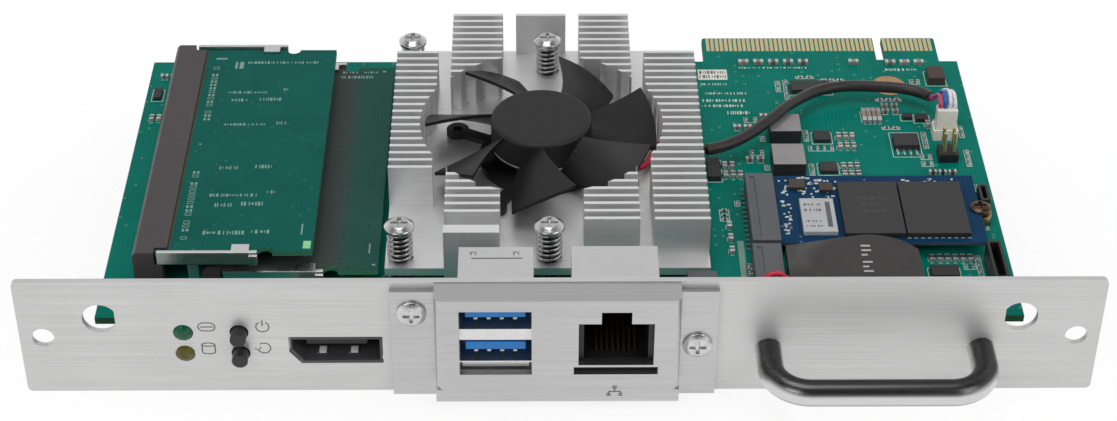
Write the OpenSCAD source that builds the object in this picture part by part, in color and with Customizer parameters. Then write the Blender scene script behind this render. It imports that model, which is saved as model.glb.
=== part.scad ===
// Slot-in computer module lying flat: faceplate with ports, main board, memory, drive, cooler and battery.
// X runs to the right, Y to the back and Z up. The origin is midway between the two mounting holes,
// on the front face of the faceplate.

/* [Faceplate] */
// Width of the faceplate
plate_w = 200; // [192:1:230]
// Height of the faceplate
plate_h = 26; // [26:0.5:32]
// Thickness of the faceplate sheet
plate_t = 1.2; // [1:0.1:1.6]
// Corner radius of the faceplate
plate_corner_r = 1; // [0.5:0.25:2]
// Diameter of the two mounting holes
mount_hole_d = 4.2; // [3.4:0.1:5]
// Distance from a mounting hole to the end of the faceplate
mount_hole_inset = 4.35; // [3.5:0.05:5]
// Diameter of an antenna hole
antenna_hole_d = 6.5; // [6:0.1:7]
// Distance from the antenna hole's centre to its flat
antenna_flat = 2.75; // [2.5:0.05:3]
// Height of the antenna holes above the mounting holes
antenna_z = 4.5; // [3:0.5:6]
// Distance from an antenna hole to the side edge of the main board
antenna_inset = 2.8; // [2:0.1:6]

/* [Main board] */
// Width of the main board
board_w = 175; // [175:1:180]
// Depth of the main board without its plug-in tongue
board_d = 92.4; // [92.4:0.4:110]
// Thickness of the main board
board_t = 1.6; // [1.2:0.1:2]
// Height of the mounting holes above the top of the main board
board_drop = 1.5; // [1:0.25:2.5]
// Length of the plug-in tongue
tongue_l = 9.3; // [8:0.1:12]
// Width of the plug-in tongue
tongue_w = 51.4; // [51.2:0.2:56]
// Position of the tongue's left edge
tongue_x = 32.2; // [20:0.1:32.5]
// Width of the key slot in the tongue
key_w = 1.9; // [1.5:0.1:2.2]
// Distance from the tongue's right edge to the key slot
key_inset = 11.7; // [9:0.05:15]
// Pitch of the gold contacts
contact_pitch = 1; // [1:0.1:1.6]
// Width of a gold contact
contact_w = 0.7; // [0.5:0.05:0.8]
// Length of a gold contact
contact_l = 5; // [3:0.25:6]

/* [Port bracket] */
// Width of the raised bracket in front of the ports
hat_w = 45; // [44:0.2:46]
// Distance that the raised bracket stands in front of the faceplate
hat_step = 5.5; // [4:0.25:7]
// Thickness of the bracket sheet
hat_t = 1.2; // [0.8:0.1:1.4]
// Height of the raised bracket
hat_h = 23.9; // [23.4:0.1:24.5]
// Width of the left ear
ear_left_w = 8.2; // [7.6:0.1:8.8]
// Width of the right ear
ear_right_w = 7; // [6.8:0.1:8.5]
// Height of the ears
ear_h = 24.5; // [22:0.25:25]
// Diameter of the flat bracket screw heads
ear_screw_head_d = 5.5; // [4.5:0.1:6]

/* [Ports] */
// Width of the double serial port
usb_w = 14; // [13.6:0.1:14.6]
// Height of the double serial port
usb_h = 15.6; // [15.6:0.1:16]
// Depth of the double serial port
usb_d = 17.6; // [14:0.2:18]
// Height of each serial port mouth
usb_mouth_h = 5; // [4.6:0.1:5.2]
// Thickness of each serial port tongue
usb_tongue_t = 1.8; // [1.4:0.1:2]
// Width of the network jack
jack_w = 16.2; // [16:0.1:17]
// Height of the network jack
jack_h = 15.4; // [15.2:0.1:15.8]
// Depth of the network jack
jack_d = 18.1; // [15:0.2:18.4]
// Distance that the tall ports sink below the top of the board
port_sink = 3.4; // [3:0.1:3.6]
// Width of the display port mouth in the faceplate
dp_w = 17.4; // [17:0.1:18]
// Height of the display port mouth in the faceplate
dp_h = 6.3; // [6:0.1:6.8]
// Depth of the display port
dp_d = 10.6; // [9:0.2:10.8]

/* [Indicators and buttons] */
// Position of the two lamps
led_x = -69.7; // [-71:0.1:-68.5]
// Diameter of a lamp lens
led_d = 3.4; // [3:0.1:3.8]
// Position of the two push buttons
button_x = -59.4; // [-60:0.1:-58.6]
// Diameter of a push button
button_d = 3; // [2.6:0.1:3.4]
// Distance that a push button stands proud of the faceplate
button_reach = 2.5; // [1.5:0.1:3.5]
// Vertical distance between the upper and lower pair
indicator_pitch = 5; // [5:0.1:5.4]

/* [Handle] */
// Distance between the two legs of the handle
handle_span = 39.6; // [32:0.2:39.8]
// Diameter of the handle rod
handle_d = 5; // [4:0.25:6]
// Distance from the faceplate to the middle of the grip
handle_reach = 12.5; // [10:0.5:25]
// Bend radius of the handle at the middle of the rod
handle_bend_r = 7; // [5:0.5:8]

/* [Memory] */
// Width of a memory board
dimm_w = 69.6; // [67.6:0.2:69.8]
// Depth of a memory board out of its edge contacts
dimm_d = 30; // [29:0.1:30.2]
// Thickness of a memory board
dimm_t = 1.2; // [1:0.05:1.3]
// Height of the upper memory socket
upper_socket_h = 9.2; // [8.8:0.1:9.8]
// Height of the lower memory socket
lower_socket_h = 4.6; // [4:0.1:5]
// Depth of a memory chip's body
memory_chip_l = 11; // [9:0.25:12]

/* [Cooler] */
// Width of the cooler base
sink_w = 62.2; // [61.8:0.1:62.4]
// Thickness of the cooler base
sink_base_t = 1.7; // [1.4:0.1:2.4]
// Height of the fins above the base
fin_h = 9.5; // [9:0.1:11]
// Thickness of a fin
fin_t = 0.8; // [0.6:0.05:0.9]
// Distance from one fin to the next
fin_pitch = 2.4; // [2.3:0.05:3]
// Width of a fin column
column_w = 10.6; // [9.6:0.1:11.4]
// Distance from one fin column to the next
column_pitch = 13.35; // [12.8:0.05:13.4]
// Thickness of the processor between board and cooler
processor_h = 2; // [1.6:0.1:2.4]
// Diameter of the fan across the blade tips
fan_d = 46.6; // [42:0.2:47]
// Gap between the blade tips and the fins
fan_tip_gap = 1; // [0.6:0.1:1.6]
// Diameter of the fan hub
hub_d = 20.2; // [18:0.2:22]
// Number of fan blades
blade_count = 7; // [5:1:9]
// Axial height of a fan blade
blade_h = 7; // [5:0.1:7.4]
// Thickness of a fan blade
blade_t = 0.8; // [0.6:0.05:1]
// Coil diameter of a cooler spring
spring_d = 5; // [4.4:0.1:5.4]
// Wire diameter of a cooler spring
spring_wire_d = 0.6; // [0.4:0.05:0.7]

/* [Drive and battery] */
// Length of the drive board
ssd_l = 42; // [42:1:42]
// Width of the drive board and of its socket
ssd_w = 22; // [21:0.1:22.2]
// Thickness of the drive board
ssd_t = 0.8; // [0.7:0.05:1]
// Height of the card sockets
card_socket_h = 4.2; // [3.8:0.1:4.6]
// Diameter of the sleeved battery
battery_d = 22.4; // [20.4:0.2:22.6]
// Thickness of the sleeved battery
battery_t = 4.2; // [3.4:0.1:5]
// Thickness of the foam pad under the battery
battery_pad_t = 2.2; // [1:0.1:3]

/* [Hidden] */

$fn = 48;
// Depth that a cut runs past the face it leaves
over = 1;
// Radial play of a press-fitted or seated round piece
seat_play = 0.02;

// Main levels and edges
board_z = -board_drop;
angle_t = 1.2;
board_y0 = plate_t + angle_t;
board_y1 = board_y0 + board_d;
board_side = board_w / 2;

// Faceplate features
mount_x = plate_w / 2 - mount_hole_inset;
antenna_x = board_side - antenna_inset;
indicator_z = -1.35;
upper_z = indicator_z + indicator_pitch / 2;
lower_z = indicator_z - indicator_pitch / 2;
led_play = 0.15;
button_play = 0.25;
dp_x = -41.7;
dp_z = -3.15;
dp_cut_x = 2.1;
dp_cut_z = 2.8;
dp_play = 0.2;
dp_spring = [2.2, 3.2, 0.35];
dp_spring_x = 2.95;
dp_spring_y = 2;

// Raised bracket
hat_x = -0.6;
hat_z1 = plate_h / 2 - 0.2;
hat_z0 = hat_z1 - hat_h;
hat_left = hat_x - hat_w / 2;
hat_right = hat_x + hat_w / 2;
hat_corner_r = 1.5;
hat_relief = 2.8;
ear_left_screw = [hat_left - ear_left_w / 2 - 0.2, 6.65];
ear_right_screw = [hat_right + ear_right_w / 2 - 0.1, -0.95];
window_z0 = board_z - port_sink - 1;
window_z1 = board_z + usb_h - port_sink + 0.4;
window_lap = 0.3;

// Ports
port_front = -hat_step + hat_t;
port_lap = 0.35;
usb_x = -12;
usb_lip = 2.7;
usb_gap = 2.6;
usb_wall = 0.4;
usb_cavity_d = 13;
usb_block_d = 4;
usb_recess = 3;
usb_lip_t = 1.2;
usb_lip_z = 0.9;
usb_lip_y = 0.5;
usb_contact_pitch = 2.4;
usb_contact_w = 1;
usb_contact_t = 0.2;
usb_tongue_y = 0.6;
usb_tongue_rise = 2.3;
usb_tongue_w = 11;
jack_x = 10.1;
jack_wall = 0.4;
plug_w = 11.8;
plug_h = 8.2;
plug_z0 = 2.9;
plug_d = 14;
latch_w = 5.5;
latch_h = 2.8;
jack_front = 0.3;
jack_bar_z = 2.1;
jack_bar_t = 0.5;
jack_contact_n = 8;
jack_contact_pitch = 1.02;

// Fasteners
m3_d = 3;
m3_clear = 3.4;
nut_d = 6;
nut_h = 2;
screw_head_d = 5.6;
screw_head_h = 1.8;
angle_leg_d = 9;
angle_left_w = 8;
angle_drop = 7;
angle_margin = 3.6;
angle_step = 1.4;
board_screw_y = board_y0 + 5.2;
flush_head_d = 5.4;
nut_cut_w = 7.4;
nut_cut_d = 3.2;

// Handle
handle_x = 58.4;
handle_z = -3.1;
handle_bore_d = 3;
handle_bore_l = 7;
handle_bore_depth = min(handle_bore_l, handle_reach - handle_bend_r);
handle_bore_rest = 0.5;
handle_legs = [handle_x - handle_span / 2, handle_x + handle_span / 2];

// Stiffening angles and the screws that hold the board to them
angle_left_screw_x = ear_left_screw[0];
angle_right_x0 = ear_right_screw[0] - nut_cut_w / 2;
angle_right_x1 = handle_legs[1] + nut_cut_w / 2;
board_screw_right = [handle_legs[0] - 7.5, handle_legs[1] - 7.7];

// Indicator board and switches
switch_d = 3;
switch_w = 4.6;
switch_play = 0.1;
indicator_gap = 5.6;
indicator_y = plate_t + indicator_gap;
indicator_t = 1.4;
indicator_x0 = -75;
indicator_x1 = -55.4;
indicator_h = 11.4;
collar_d = 4.2;
collar_t = 1;
collar_gap = 0.2;
stem_d = 2;
stem_l = 2.6;
stem_bore_l = 2;

// Front cut-outs of the main board
cutout_gap = 0.4;
corner_cut = [12.4, 5.2];
tongue_chamfer = 0.4;
contact_end = 0.3;
plated_hole = [71.4, 85.2];

// Memory sockets, measured from the top of the main board
dimm_y0 = 16.6;
socket_end = 1.2;
upper_socket_x = -80.7;
upper_socket_w = 6.5;
lower_socket_x = -68;
lower_socket_w = 6;
dimm_bite = 2.6;
dimm_top_wall = 0.4;
slot_play = 0.1;
upper_dimm_z = upper_socket_h - dimm_top_wall - slot_play - dimm_t;
lower_dimm_z = lower_socket_h - dimm_top_wall - slot_play - dimm_t;
upper_dimm_x = upper_socket_x + upper_socket_w - dimm_bite;
lower_dimm_x = lower_socket_x + lower_socket_w - dimm_bite;
dimm_notch_r = 1.4;
dimm_notch_x = 21;
latch_l = 19;
latch_t = 0.8;
latch_rise = 1;
latch_gap = 0.4;
latch_hook_x = 14;
latch_hook_w = 3.4;
latch_hook_t = 0.5;
latch_hook_reach = 1.5;
latch_pin_r = 0.9;
latch_pin_play = 0.1;
latch_y = dimm_y0 - latch_gap - latch_t;
post_w = 2;
post_t = 0.8;
chip_t = 1;
chip_w = 8.6;
chip_pitch = 15.5;

// Cooler, measured from the top of the main board
fan_x = -3.4;
fan_y = 53.15;
sink_lead = 30;
sink_x0 = fan_x - sink_lead;
sink_y0 = 17.6;
sink_y1 = 93.3;
base_z0 = processor_h;
base_z1 = base_z0 + sink_base_t;
fin_z1 = base_z1 + fin_h;
column_half = column_w / 2;
recess_r = fan_d / 2 + fan_tip_gap;
side_back = 78.8;
side_front = 36.6;
fin_front = 20.2;
middle_back = 91.4;
end_block_y = 16.4;
end_block_t = 2.4;
column_spans = [[side_front, side_back], [end_block_y + end_block_t + fin_pitch, sink_y1],
    [middle_back, sink_y1], [fin_front, sink_y1], [fin_front, side_back]];
screw_xs = [-30.5, -2];
screw_gap = screw_xs[1] - screw_xs[0];
screw_span = 64.7;
screw_ys = [fan_y - screw_span / 2, fan_y + screw_span / 2];
spring_l = 7.2;
spring_turns = 6;
spring_steps = 10;
spring_sides = 5;
cooler_screw_d = 2.6;
cooler_hole_d = 3.4;
cooler_head_d = 5.8;
cooler_head_h = 1.4;
boss_d = 5.4;
boss_h = 1.4;
back_t = 1.2;
back_margin = 5;
processor_size = [34, 26];
processor_x = (screw_xs[0] + screw_xs[1]) / 2;
die_size = [14, 11];
substrate_h = processor_h - 0.8;

// Fan, measured from the top of the main board
fan_plate_t = 1.2;
fan_plate_r = 12.6;
fan_plate_z1 = base_z1 + fan_plate_t;
arm_n = 4;
arm_w = 2.4;
arm_r = 19.4;
eyelet_r = 2.3;
eyelet_hole_d = 2;
arm_turn = 62;
hub_z1 = base_z1 + 10.5;
hub_skirt = 6;
hub_wall = 1.2;
hub_top_t = 1.2;
hub_edge_r = 0.8;
shaft_r = 1;
shaft_play = 0.05;
bearing_r = 2;
post_r = 3;
post_top = hub_z1 - hub_top_t - 1;
stator_r = hub_d / 2 - hub_wall - 1.3;
stator_z0 = fan_plate_z1 + 0.2;
stator_h = 4.6;
pole_w = 3;
pole_n = 4;
pole_shoe = 1;
coil_in = 1.6;
coil_t = 0.8;
blade_z1 = hub_z1 - 0.6;
blade_root = hub_d / 2 - 0.5;
blade_sweep = 15;
blade_chord = 31;
blade_start = -22;
blade_camber = 0.7;
blade_steps = 6;

// Drive and card sockets, measured from the top of the main board
ssd_x1 = 83.2;
ssd_y = 36.6;
ssd_x0 = ssd_x1 - ssd_l;
card_bite = 1.8;
card_tongue_w = ssd_w - 2.2;
card_socket_w = 5.6;
drive_socket_x = ssd_x0 + card_bite - card_socket_w;
card_top_wall = 0.6;
ssd_z = card_socket_h - card_top_wall - slot_play - ssd_t;
card_socket_x = 37.2;
card_socket_y = 13.6;
standoff_d = 4.8;
standoff_bore_d = 2;
drive_screw_head_d = 4.2;
drive_screw_head_h = 0.8;
drive_notch_r = 1.75;
drive_parts = [[47.5, 27.8, 6.7, 10.9, 1], [55.5, 27, 11.8, 17, 1.2], [67.6, 27, 12.4, 17, 1.2],
    [46, 42.6, 3.2, 3, 0.8], [51.9, 41.8, 2.7, 2.4, 0.8]];

// Battery, measured from the top of the main board
battery_x = 59.4;
battery_y = 13.2;
battery_cut = 9.1;
sleeve_end = [1, 18.6, 1.8];
sleeve_reach = 16;
battery_pad_w = 12;

// Routes of the free leads, measured from the top of the main board, and the reference for their rings
lead_up = [0.2, 0.3, 0.9];
lead_d = 2.4;
wire_d = 1.1;
lead_route = [[30.2, 55.7, 4.2], [33.3, 56.7, 4.2], [36.7, 58.7, 4.3], [39.6, 61, 4.5], [42.6, 63.8, 4.9],
    [45.3, 66.9, 5], [48, 70.5, 4.8], [51.1, 74.2, 4.2], [54.3, 77.2, 3.8], [58.5, 79.2, 3.6],
    [63, 79.9, 3.5], [68.5, 79.7, 3.4], [73.8, 78.9, 3.4], [77.2, 77.1, 3.5], [78.6, 75.4, 3.8]];
wire_gap_n = round((side_back - 55.6) / fin_pitch);
wire_gap_y = side_back - wire_gap_n * fin_pitch + (fin_pitch - fin_t) / 2;
inner_routes = [[[7, 50.2, 5.5], [12, 47.6, 5.5], [16, 47.4, 5.5], [18, 49.4, 5.5], [19, 52.4, 5.5],
    [20, wire_gap_y - 0.3, 5.5], [21.4, wire_gap_y, 5.8], [28, wire_gap_y, 5.6],
    [29.4, wire_gap_y, 5], [30.2, 55.7, 4.7]],
    [[7, 51.8, 5.5], [10, 50.6, 5.4], [13.4, 49.4, 4.5], [16.4, 49.6, 4.3], [18, 51.6, 4.3],
    [19.4, wire_gap_y - 0.5, 4.3], [20.8, wire_gap_y, 4.35], [28, wire_gap_y, 4.4], [29.6, wire_gap_y, 4.1],
    [30.2, 55.7, 3.8]]];
tail_xs = [79.1, 80.1, 81.1, 82.1];
tail_bends = [[[79, 73.6, 4.4], [79, 71, 7], [79.1, 68.4, 8.8], [79.1, 66.3, 8.4]],
    [[79.3, 74, 4.6], [79.9, 71.6, 7.4], [80.1, 68.8, 9.3], [80.1, 66.3, 8.8]],
    [[79.5, 74.3, 4.6], [80.6, 72, 7.6], [81.1, 69, 9.4], [81.1, 66.3, 8.8]],
    [[79.7, 74.4, 4.2], [81.2, 72.4, 7], [82, 69.2, 9], [82.1, 66.3, 8.4]]];
battery_routes = [[[44.6, 13.2, 4.3], [43, 13, 5.1], [40.6, 12.6, 5.8], [38.4, 12.2, 5.5], [36.2, 12.1, 4.8],
    [33.6, 12.4, 3.6], [30.8, 12.9, 2.9], [29.6, 12.9, 2.9]],
    [[44.6, 11.6, 4.3], [43, 11.5, 4.9], [40.6, 11.2, 5.2], [38.4, 10.9, 5.3], [36.2, 10.8, 4.8],
    [33.6, 10.9, 3.5], [30.8, 11.5, 2.9], [29.6, 11.5, 2.9]]];
plug_size = [4.2, 2.6, 5.6];
plug_pos = [78.5, 65, 1.6];
header_wall = 0.5;
header_h = 1.6;
battery_plug_pos = [24, 10.6, 0];
battery_plug_size = [5.6, 3.4, 5.8];

// Small board parts: corner, size and height
chip_list = [[50.1, 82, 8.5, 3.7, 1.1], [53.3, 63.9, 3.4, 3.3, 0.9], [53.5, 52.9, 3.5, 3.3, 0.9],
    [69.6, 61, 5.2, 4.3, 1.5], [79.9, 85.4, 3.6, 4.7, 1.8], [30.4, 50.6, 2.6, 6.8, 1.2],
    [71.5, 18.4, 5.4, 3.2, 1.2], [-85.8, 80, 1.6, 3.6, 0.8], [72.8, 72.2, 2, 1.6, 0.8],
    [75.4, 71.4, 2.6, 2, 0.9]];
soic = [69.6, 61, 5.2, 4.3];
soic_leg_n = 4;
soic_leg_w = 0.5;
soic_leg_l = 1.8;
soic_leg_t = 0.4;
inductor_list = [[43.7, 52, 6.7, 7.3, 3.2], [44, 63.7, 6.5, 6.4, 3.2]];
bank_list = [[64.2, 71, 0.9, 4.6, 4, 1.05], [39.6, 93.2, 2.2, 1.2, 5, 3.25], [63.6, 93.2, 2.2, 1.2, 1, 3],
    [71.6, 93, 2.2, 1.2, 3, 3.1], [36.8, 68.6, 1.6, 1, 2, 2.2], [38.6, 57, 1.6, 1.1, 2, 2.2],
    [58, 65, 1, 1.6, 3, 1.4], [58, 61.4, 1, 1.6, 3, 1.4], [57.9, 54.4, 1, 1.5, 3, 1.4],
    [57.9, 51.6, 1, 1.5, 3, 1.4], [33.6, 54.6, 1, 1.7, 2, 1.5], [33.6, 51.4, 1, 1.8, 3, 1.5],
    [75.6, 52.4, 1.6, 1, 3, 2], [68.6, 76.4, 1.5, 1, 2, 2.1], [68.6, 74.4, 1.5, 1, 2, 2.1],
    [77.2, 69.4, 1, 1.7, 2, 1.5], [33.2, 26.4, 1, 1.7, 1, 1.5], [33.2, 30.4, 1, 1.7, 1, 1.5],
    [33.2, 34.4, 1, 1.7, 1, 1.5], [71.8, 23.8, 1, 1.6, 6, 1.5], [-85.2, 88, 1.6, 1, 2, 2.2],
    [-85.6, 72, 1, 1.6, 2, 1.5], [42.6, 72.6, 1.6, 1, 2, 2.4], [46.8, 49.4, 1.6, 1, 3, 2.4]];
cap_h = 0.9;
pin_size = 0.64;
header_blocks = [[82.3, 12.8, 2.8, 11.4, 5], [83.8, 39.2, 2, 5.2, 3.6]];
pin_block = [78.2, 56.7];
pin_pitch = 2;
pin_h = 6.8;

// Middle of fin column i
function column_x(i) = fan_x + (i - 2) * column_pitch;

// Number of fins that fit between two depths
function fin_count(y0, y1) = floor((y1 - y0 - fin_t) / fin_pitch) + 1;

// Comb outline of one column, with its last fin flush with the back
function comb(y0, y1, n) = let (teeth = [for (i = [0:n - 1]) each tooth(y1 - (n - 1 - i) * fin_pitch)])
    concat([[y0, base_z0]], teeth, [[y1, base_z0]]);

// The four corners of one fin that ends at depth y
function tooth(y) = [[y - fin_t, base_z1], [y - fin_t, fin_z1], [y, fin_z1], [y, base_z1]];

// Unit vector
function unit(v) = v / norm(v);

// Direction of a route at point i
function heading(route, i) = unit(route[min(i + 1, len(route) - 1)] - route[max(i - 1, 0)]);

// Ring of points across a route at point i
function ring(route, i, d, sides) = let (t = heading(route, i), a = unit(cross(t, lead_up)), b = cross(t, a))
    [for (k = [0:sides - 1]) route[i] + d / 2 * (cos(360 * k / sides) * a + sin(360 * k / sides) * b)];

// Closed tube along a route
module tube(route, d, sides = 8) {
    n = len(route);
    points = [for (i = [0:n - 1]) each ring(route, i, d, sides)];
    walls = [for (i = [0:n - 2], k = [0:sides - 1]) let (m = (k + 1) % sides)
        [i * sides + k, (i + 1) * sides + k, (i + 1) * sides + m, i * sides + m]];
    ends = [[for (k = [0:sides - 1]) k], [for (k = [sides - 1:-1:0]) (n - 1) * sides + k]];
    polyhedron(points, concat(walls, ends));
}

// Lift a child from the top of the main board into place
module on_board() translate([0, 0, board_z]) children();

// Extrude an X-Z outline from the front towards the back
module sheet(t) translate([0, t, 0]) rotate([90, 0, 0]) linear_extrude(t) children();

// Extrude a Y-Z outline to the right
module along_x(l) rotate([90, 0, 90]) linear_extrude(l) children();

// Cylinder that starts at y and runs towards the back
module rod(d, l) rotate([-90, 0, 0]) cylinder(d = d, h = l);

// Rectangle with round corners, centred
module soft_rect(w, h, r) {
    square([w - 2 * r, h], center = true);
    square([w, h - 2 * r], center = true);
    for (x = [-1, 1], y = [-1, 1]) translate([x * (w / 2 - r), y * (h / 2 - r)]) circle(r);
}

// Hole of an antenna jack, with its flat towards the middle of the faceplate
module antenna_outline(side) translate([side * antenna_x, antenna_z]) intersection() {
    circle(d = antenna_hole_d);
    translate([side * (antenna_hole_d - antenna_flat) - antenna_hole_d, -antenna_hole_d])
        square(2 * antenna_hole_d);
}

// Outline of the display port, with its one cut corner
module dp_outline(grow) translate([dp_x, dp_z]) {
    w = dp_w / 2 + grow;
    h = dp_h / 2 + grow;
    polygon([[-w + dp_cut_x, -h], [w, -h], [w, h], [-w, h], [-w, -h + dp_cut_z]]);
}

module faceplate() color("silver") sheet(plate_t) difference() {
    soft_rect(plate_w, plate_h, plate_corner_r);
    for (side = [-1, 1]) {
        translate([side * mount_x, 0]) circle(d = mount_hole_d);
        antenna_outline(side);
    }
    for (x = handle_legs) translate([x, handle_z]) circle(d = m3_clear);
    for (z = [upper_z, lower_z]) {
        translate([led_x, z]) circle(d = led_d + 2 * led_play);
        translate([button_x, z]) circle(d = button_d + 2 * button_play);
    }
    for (p = [ear_left_screw, ear_right_screw]) translate(p) circle(d = m3_clear);
    dp_outline(0);
    translate([hat_left + hat_t + window_lap, window_z0])
        square([hat_w - 2 * (hat_t + window_lap), window_z1 - window_z0]);
}

// Plan of the raised bracket: front, two side walls and two ears
module hat_plan() {
    difference() {
        translate([hat_left, -hat_step]) {
            translate([hat_corner_r, 0]) square([hat_w - 2 * hat_corner_r, hat_step]);
            translate([0, hat_corner_r]) square([hat_w, hat_step - hat_corner_r]);
            for (x = [hat_corner_r, hat_w - hat_corner_r]) translate([x, hat_corner_r]) circle(hat_corner_r);
        }
        translate([hat_left + hat_t, -hat_step + hat_t]) square([hat_w - 2 * hat_t, hat_step]);
    }
}

// Opening for the double serial port in the raised bracket
module usb_opening() translate([usb_x - usb_w / 2 + port_lap, board_z - port_sink + port_lap])
    square([usb_w - 2 * port_lap, usb_h - 2 * port_lap]);

// Stepped opening for the network jack in the raised bracket
module jack_opening() translate([jack_x, board_z - port_sink]) {
    sill = jack_bar_z + jack_bar_t;
    translate([-plug_w / 2 - 1, sill]) square([plug_w + 2, jack_h - 3.4 + port_lap - sill]);
    translate([-latch_w / 2, sill]) square([latch_w, jack_h - port_lap - sill]);
    translate([-jack_w / 2 + port_lap, port_lap]) square([jack_w - 2 * port_lap, jack_bar_z - port_lap]);
}

module port_bracket() color("silver") difference() {
    union() {
        translate([0, 0, hat_z0 + hat_relief]) linear_extrude(hat_h - hat_relief) hat_plan();
        translate([hat_left, -hat_step, hat_z0]) cube([hat_w, hat_t, hat_relief + over / 100]);
        translate([hat_left + hat_t, port_front, hat_z1 - hat_t])
            cube([hat_w - 2 * hat_t, -port_front, hat_t]);
        translate([hat_left - ear_left_w, -hat_t, -plate_h / 2]) cube([ear_left_w + hat_t, hat_t, ear_h]);
        translate([hat_right - hat_t, -hat_t, -plate_h / 2]) cube([ear_right_w + hat_t, hat_t, ear_h]);
    }
    translate([0, -hat_step - over, 0]) sheet(hat_t + 2 * over) {
        usb_opening();
        jack_opening();
    }
    for (p = [ear_left_screw, ear_right_screw]) translate([p[0], -hat_t - over, p[1]])
        rod(m3_clear, hat_t + 2 * over);
}

// Cross recess in the top of a screw head that points up
module cross_recess(d) for (turn = [0, 90]) rotate(turn)
    translate([-d * 0.28, -d * 0.06, -d * 0.14]) cube([d * 0.56, d * 0.12, d]);

// Screw with a low domed head: the underside of the head is at zero and the shank goes down
module dome_screw(head_d, head_h, shank_d, shank_l) difference() {
    union() {
        translate([0, 0, -shank_l]) cylinder(d = shank_d, h = shank_l + 0.1);
        cylinder(d = head_d, h = head_h * 0.45);
        translate([0, 0, head_h * 0.45]) cylinder(d1 = head_d, d2 = head_d * 0.62, h = head_h * 0.55);
    }
    translate([0, 0, head_h]) cross_recess(head_d);
}

// Screw with a flush conical head: the top of the head is at zero
module flush_screw(head_d, head_h, shank_d, shank_l) difference() {
    union() {
        translate([0, 0, -head_h]) cylinder(d1 = shank_d, d2 = head_d, h = head_h);
        translate([0, 0, -shank_l]) cylinder(d = shank_d, h = shank_l - head_h);
    }
    cross_recess(head_d);
}

// Turn a screw so that its head faces the front
module facing_front() rotate([90, 0, 0]) children();

// Turn a screw so that its head faces the back
module facing_back() rotate([-90, 0, 0]) children();

module bracket_screws() color("lightgray") for (p = [ear_left_screw, ear_right_screw])
    translate([p[0], -hat_t, p[1]]) facing_front()
        dome_screw(ear_screw_head_d, screw_head_h * 0.6, m3_d, hat_t + plate_t + angle_t + nut_h);

// Round nuts that hold the bracket screws behind the stiffening angles
module clinch_nuts() color("darkgray") for (p = [ear_left_screw, ear_right_screw])
    translate([p[0], plate_t + angle_t, p[1]]) difference() {
        rod(nut_d, nut_h);
        translate([0, -over, 0]) rod(m3_d + 2 * seat_play, nut_h + 2 * over);
    }

// Angles that tie the faceplate to the main board: a short one on top and a long one below
module angle_brackets() color("gray") {
    difference() {
        translate([ear_left_screw[0] - angle_left_w / 2, plate_t, board_z]) {
            cube([angle_left_w, angle_t, ear_left_screw[1] - board_z + angle_margin]);
            cube([angle_left_w, angle_leg_d, angle_t]);
        }
        translate([ear_left_screw[0], 0, ear_left_screw[1]]) rod(m3_clear, board_y0 + over);
        translate([angle_left_screw_x, board_screw_y, board_z - over])
            cylinder(d = m3_d + 2 * seat_play, h = angle_t + 2 * over);
    }
    low = board_z - board_t - angle_t;
    step_z = board_z + angle_step;
    screw_top = ear_right_screw[1] + angle_margin;
    x0 = angle_right_x0;
    x1 = angle_right_x1;
    difference() {
        translate([0, plate_t, 0]) {
            sheet(angle_t) polygon([[x0, -angle_drop], [x1, -angle_drop], [x1, step_z],
                [x0 + nut_cut_w + angle_step, step_z], [x0 + nut_cut_w, screw_top], [x0, screw_top]]);
            translate([x0, 0, low]) cube([x1 - x0, angle_leg_d, angle_t]);
        }
        translate([ear_right_screw[0], 0, ear_right_screw[1]]) rod(m3_clear, board_y0 + over);
        for (x = handle_legs) translate([x, plate_t - seat_play, handle_z]) rotate([-90, 0, 0])
            cylinder(d1 = handle_bore_d + 2 * seat_play, d2 = flush_head_d + 2 * seat_play,
                h = angle_t + 2 * seat_play);
        for (x = board_screw_right) translate([x, board_screw_y, low - over])
            cylinder(d = m3_d + 2 * seat_play, h = angle_t + 2 * over);
        for (x = concat([ear_right_screw[0]], handle_legs))
            translate([x - nut_cut_w / 2 - over / 100, board_y0, low - over])
                cube([nut_cut_w + over / 50, angle_leg_d, angle_t + 2 * over]);
    }
}

module board_screws() color("lightgray") {
    translate([angle_left_screw_x, board_screw_y, board_z - board_t]) rotate([180, 0, 0])
        dome_screw(screw_head_d, screw_head_h, m3_d, board_t + angle_t);
    for (x = board_screw_right) translate([x, board_screw_y, board_z])
        dome_screw(screw_head_d, screw_head_h, m3_d, board_t + angle_t);
}

module handle() color("gainsboro") difference() {
    leg = handle_reach - handle_bend_r;
    half = handle_span / 2;
    translate([handle_x, 0, handle_z]) {
        for (side = [-1, 1]) {
            translate([side * half, -leg, 0]) rod(handle_d, leg);
            translate([side * (half - handle_bend_r), -leg, 0]) rotate([0, 0, side > 0 ? -90 : 180])
                rotate_extrude(angle = 90) translate([handle_bend_r, 0]) circle(d = handle_d);
        }
        translate([-half + handle_bend_r, -handle_reach, 0]) rotate([0, 90, 0])
            cylinder(d = handle_d, h = handle_span - 2 * handle_bend_r);
    }
    for (x = handle_legs) translate([x, -handle_bore_depth, handle_z])
        rod(handle_bore_d + 2 * seat_play, handle_bore_depth + over);
}

module handle_screws() color("lightgray") for (x = handle_legs)
    translate([x, board_y0, handle_z]) facing_back()
        flush_screw(flush_head_d, angle_t, handle_bore_d, board_y0 + handle_bore_depth - handle_bore_rest);

// Round lamp with a domed front and a flange on the indicator board
module lamp(z) translate([led_x, 0, z]) {
    dome = 0.5;
    rod(led_d, indicator_y);
    translate([0, indicator_y - 1, 0]) rod(led_d + 0.8, 1);
    translate([0, -dome, 0]) rotate([-90, 0, 0]) cylinder(d1 = led_d * 0.6, d2 = led_d, h = dome);
}

module power_led() color("green") lamp(upper_z);

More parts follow.
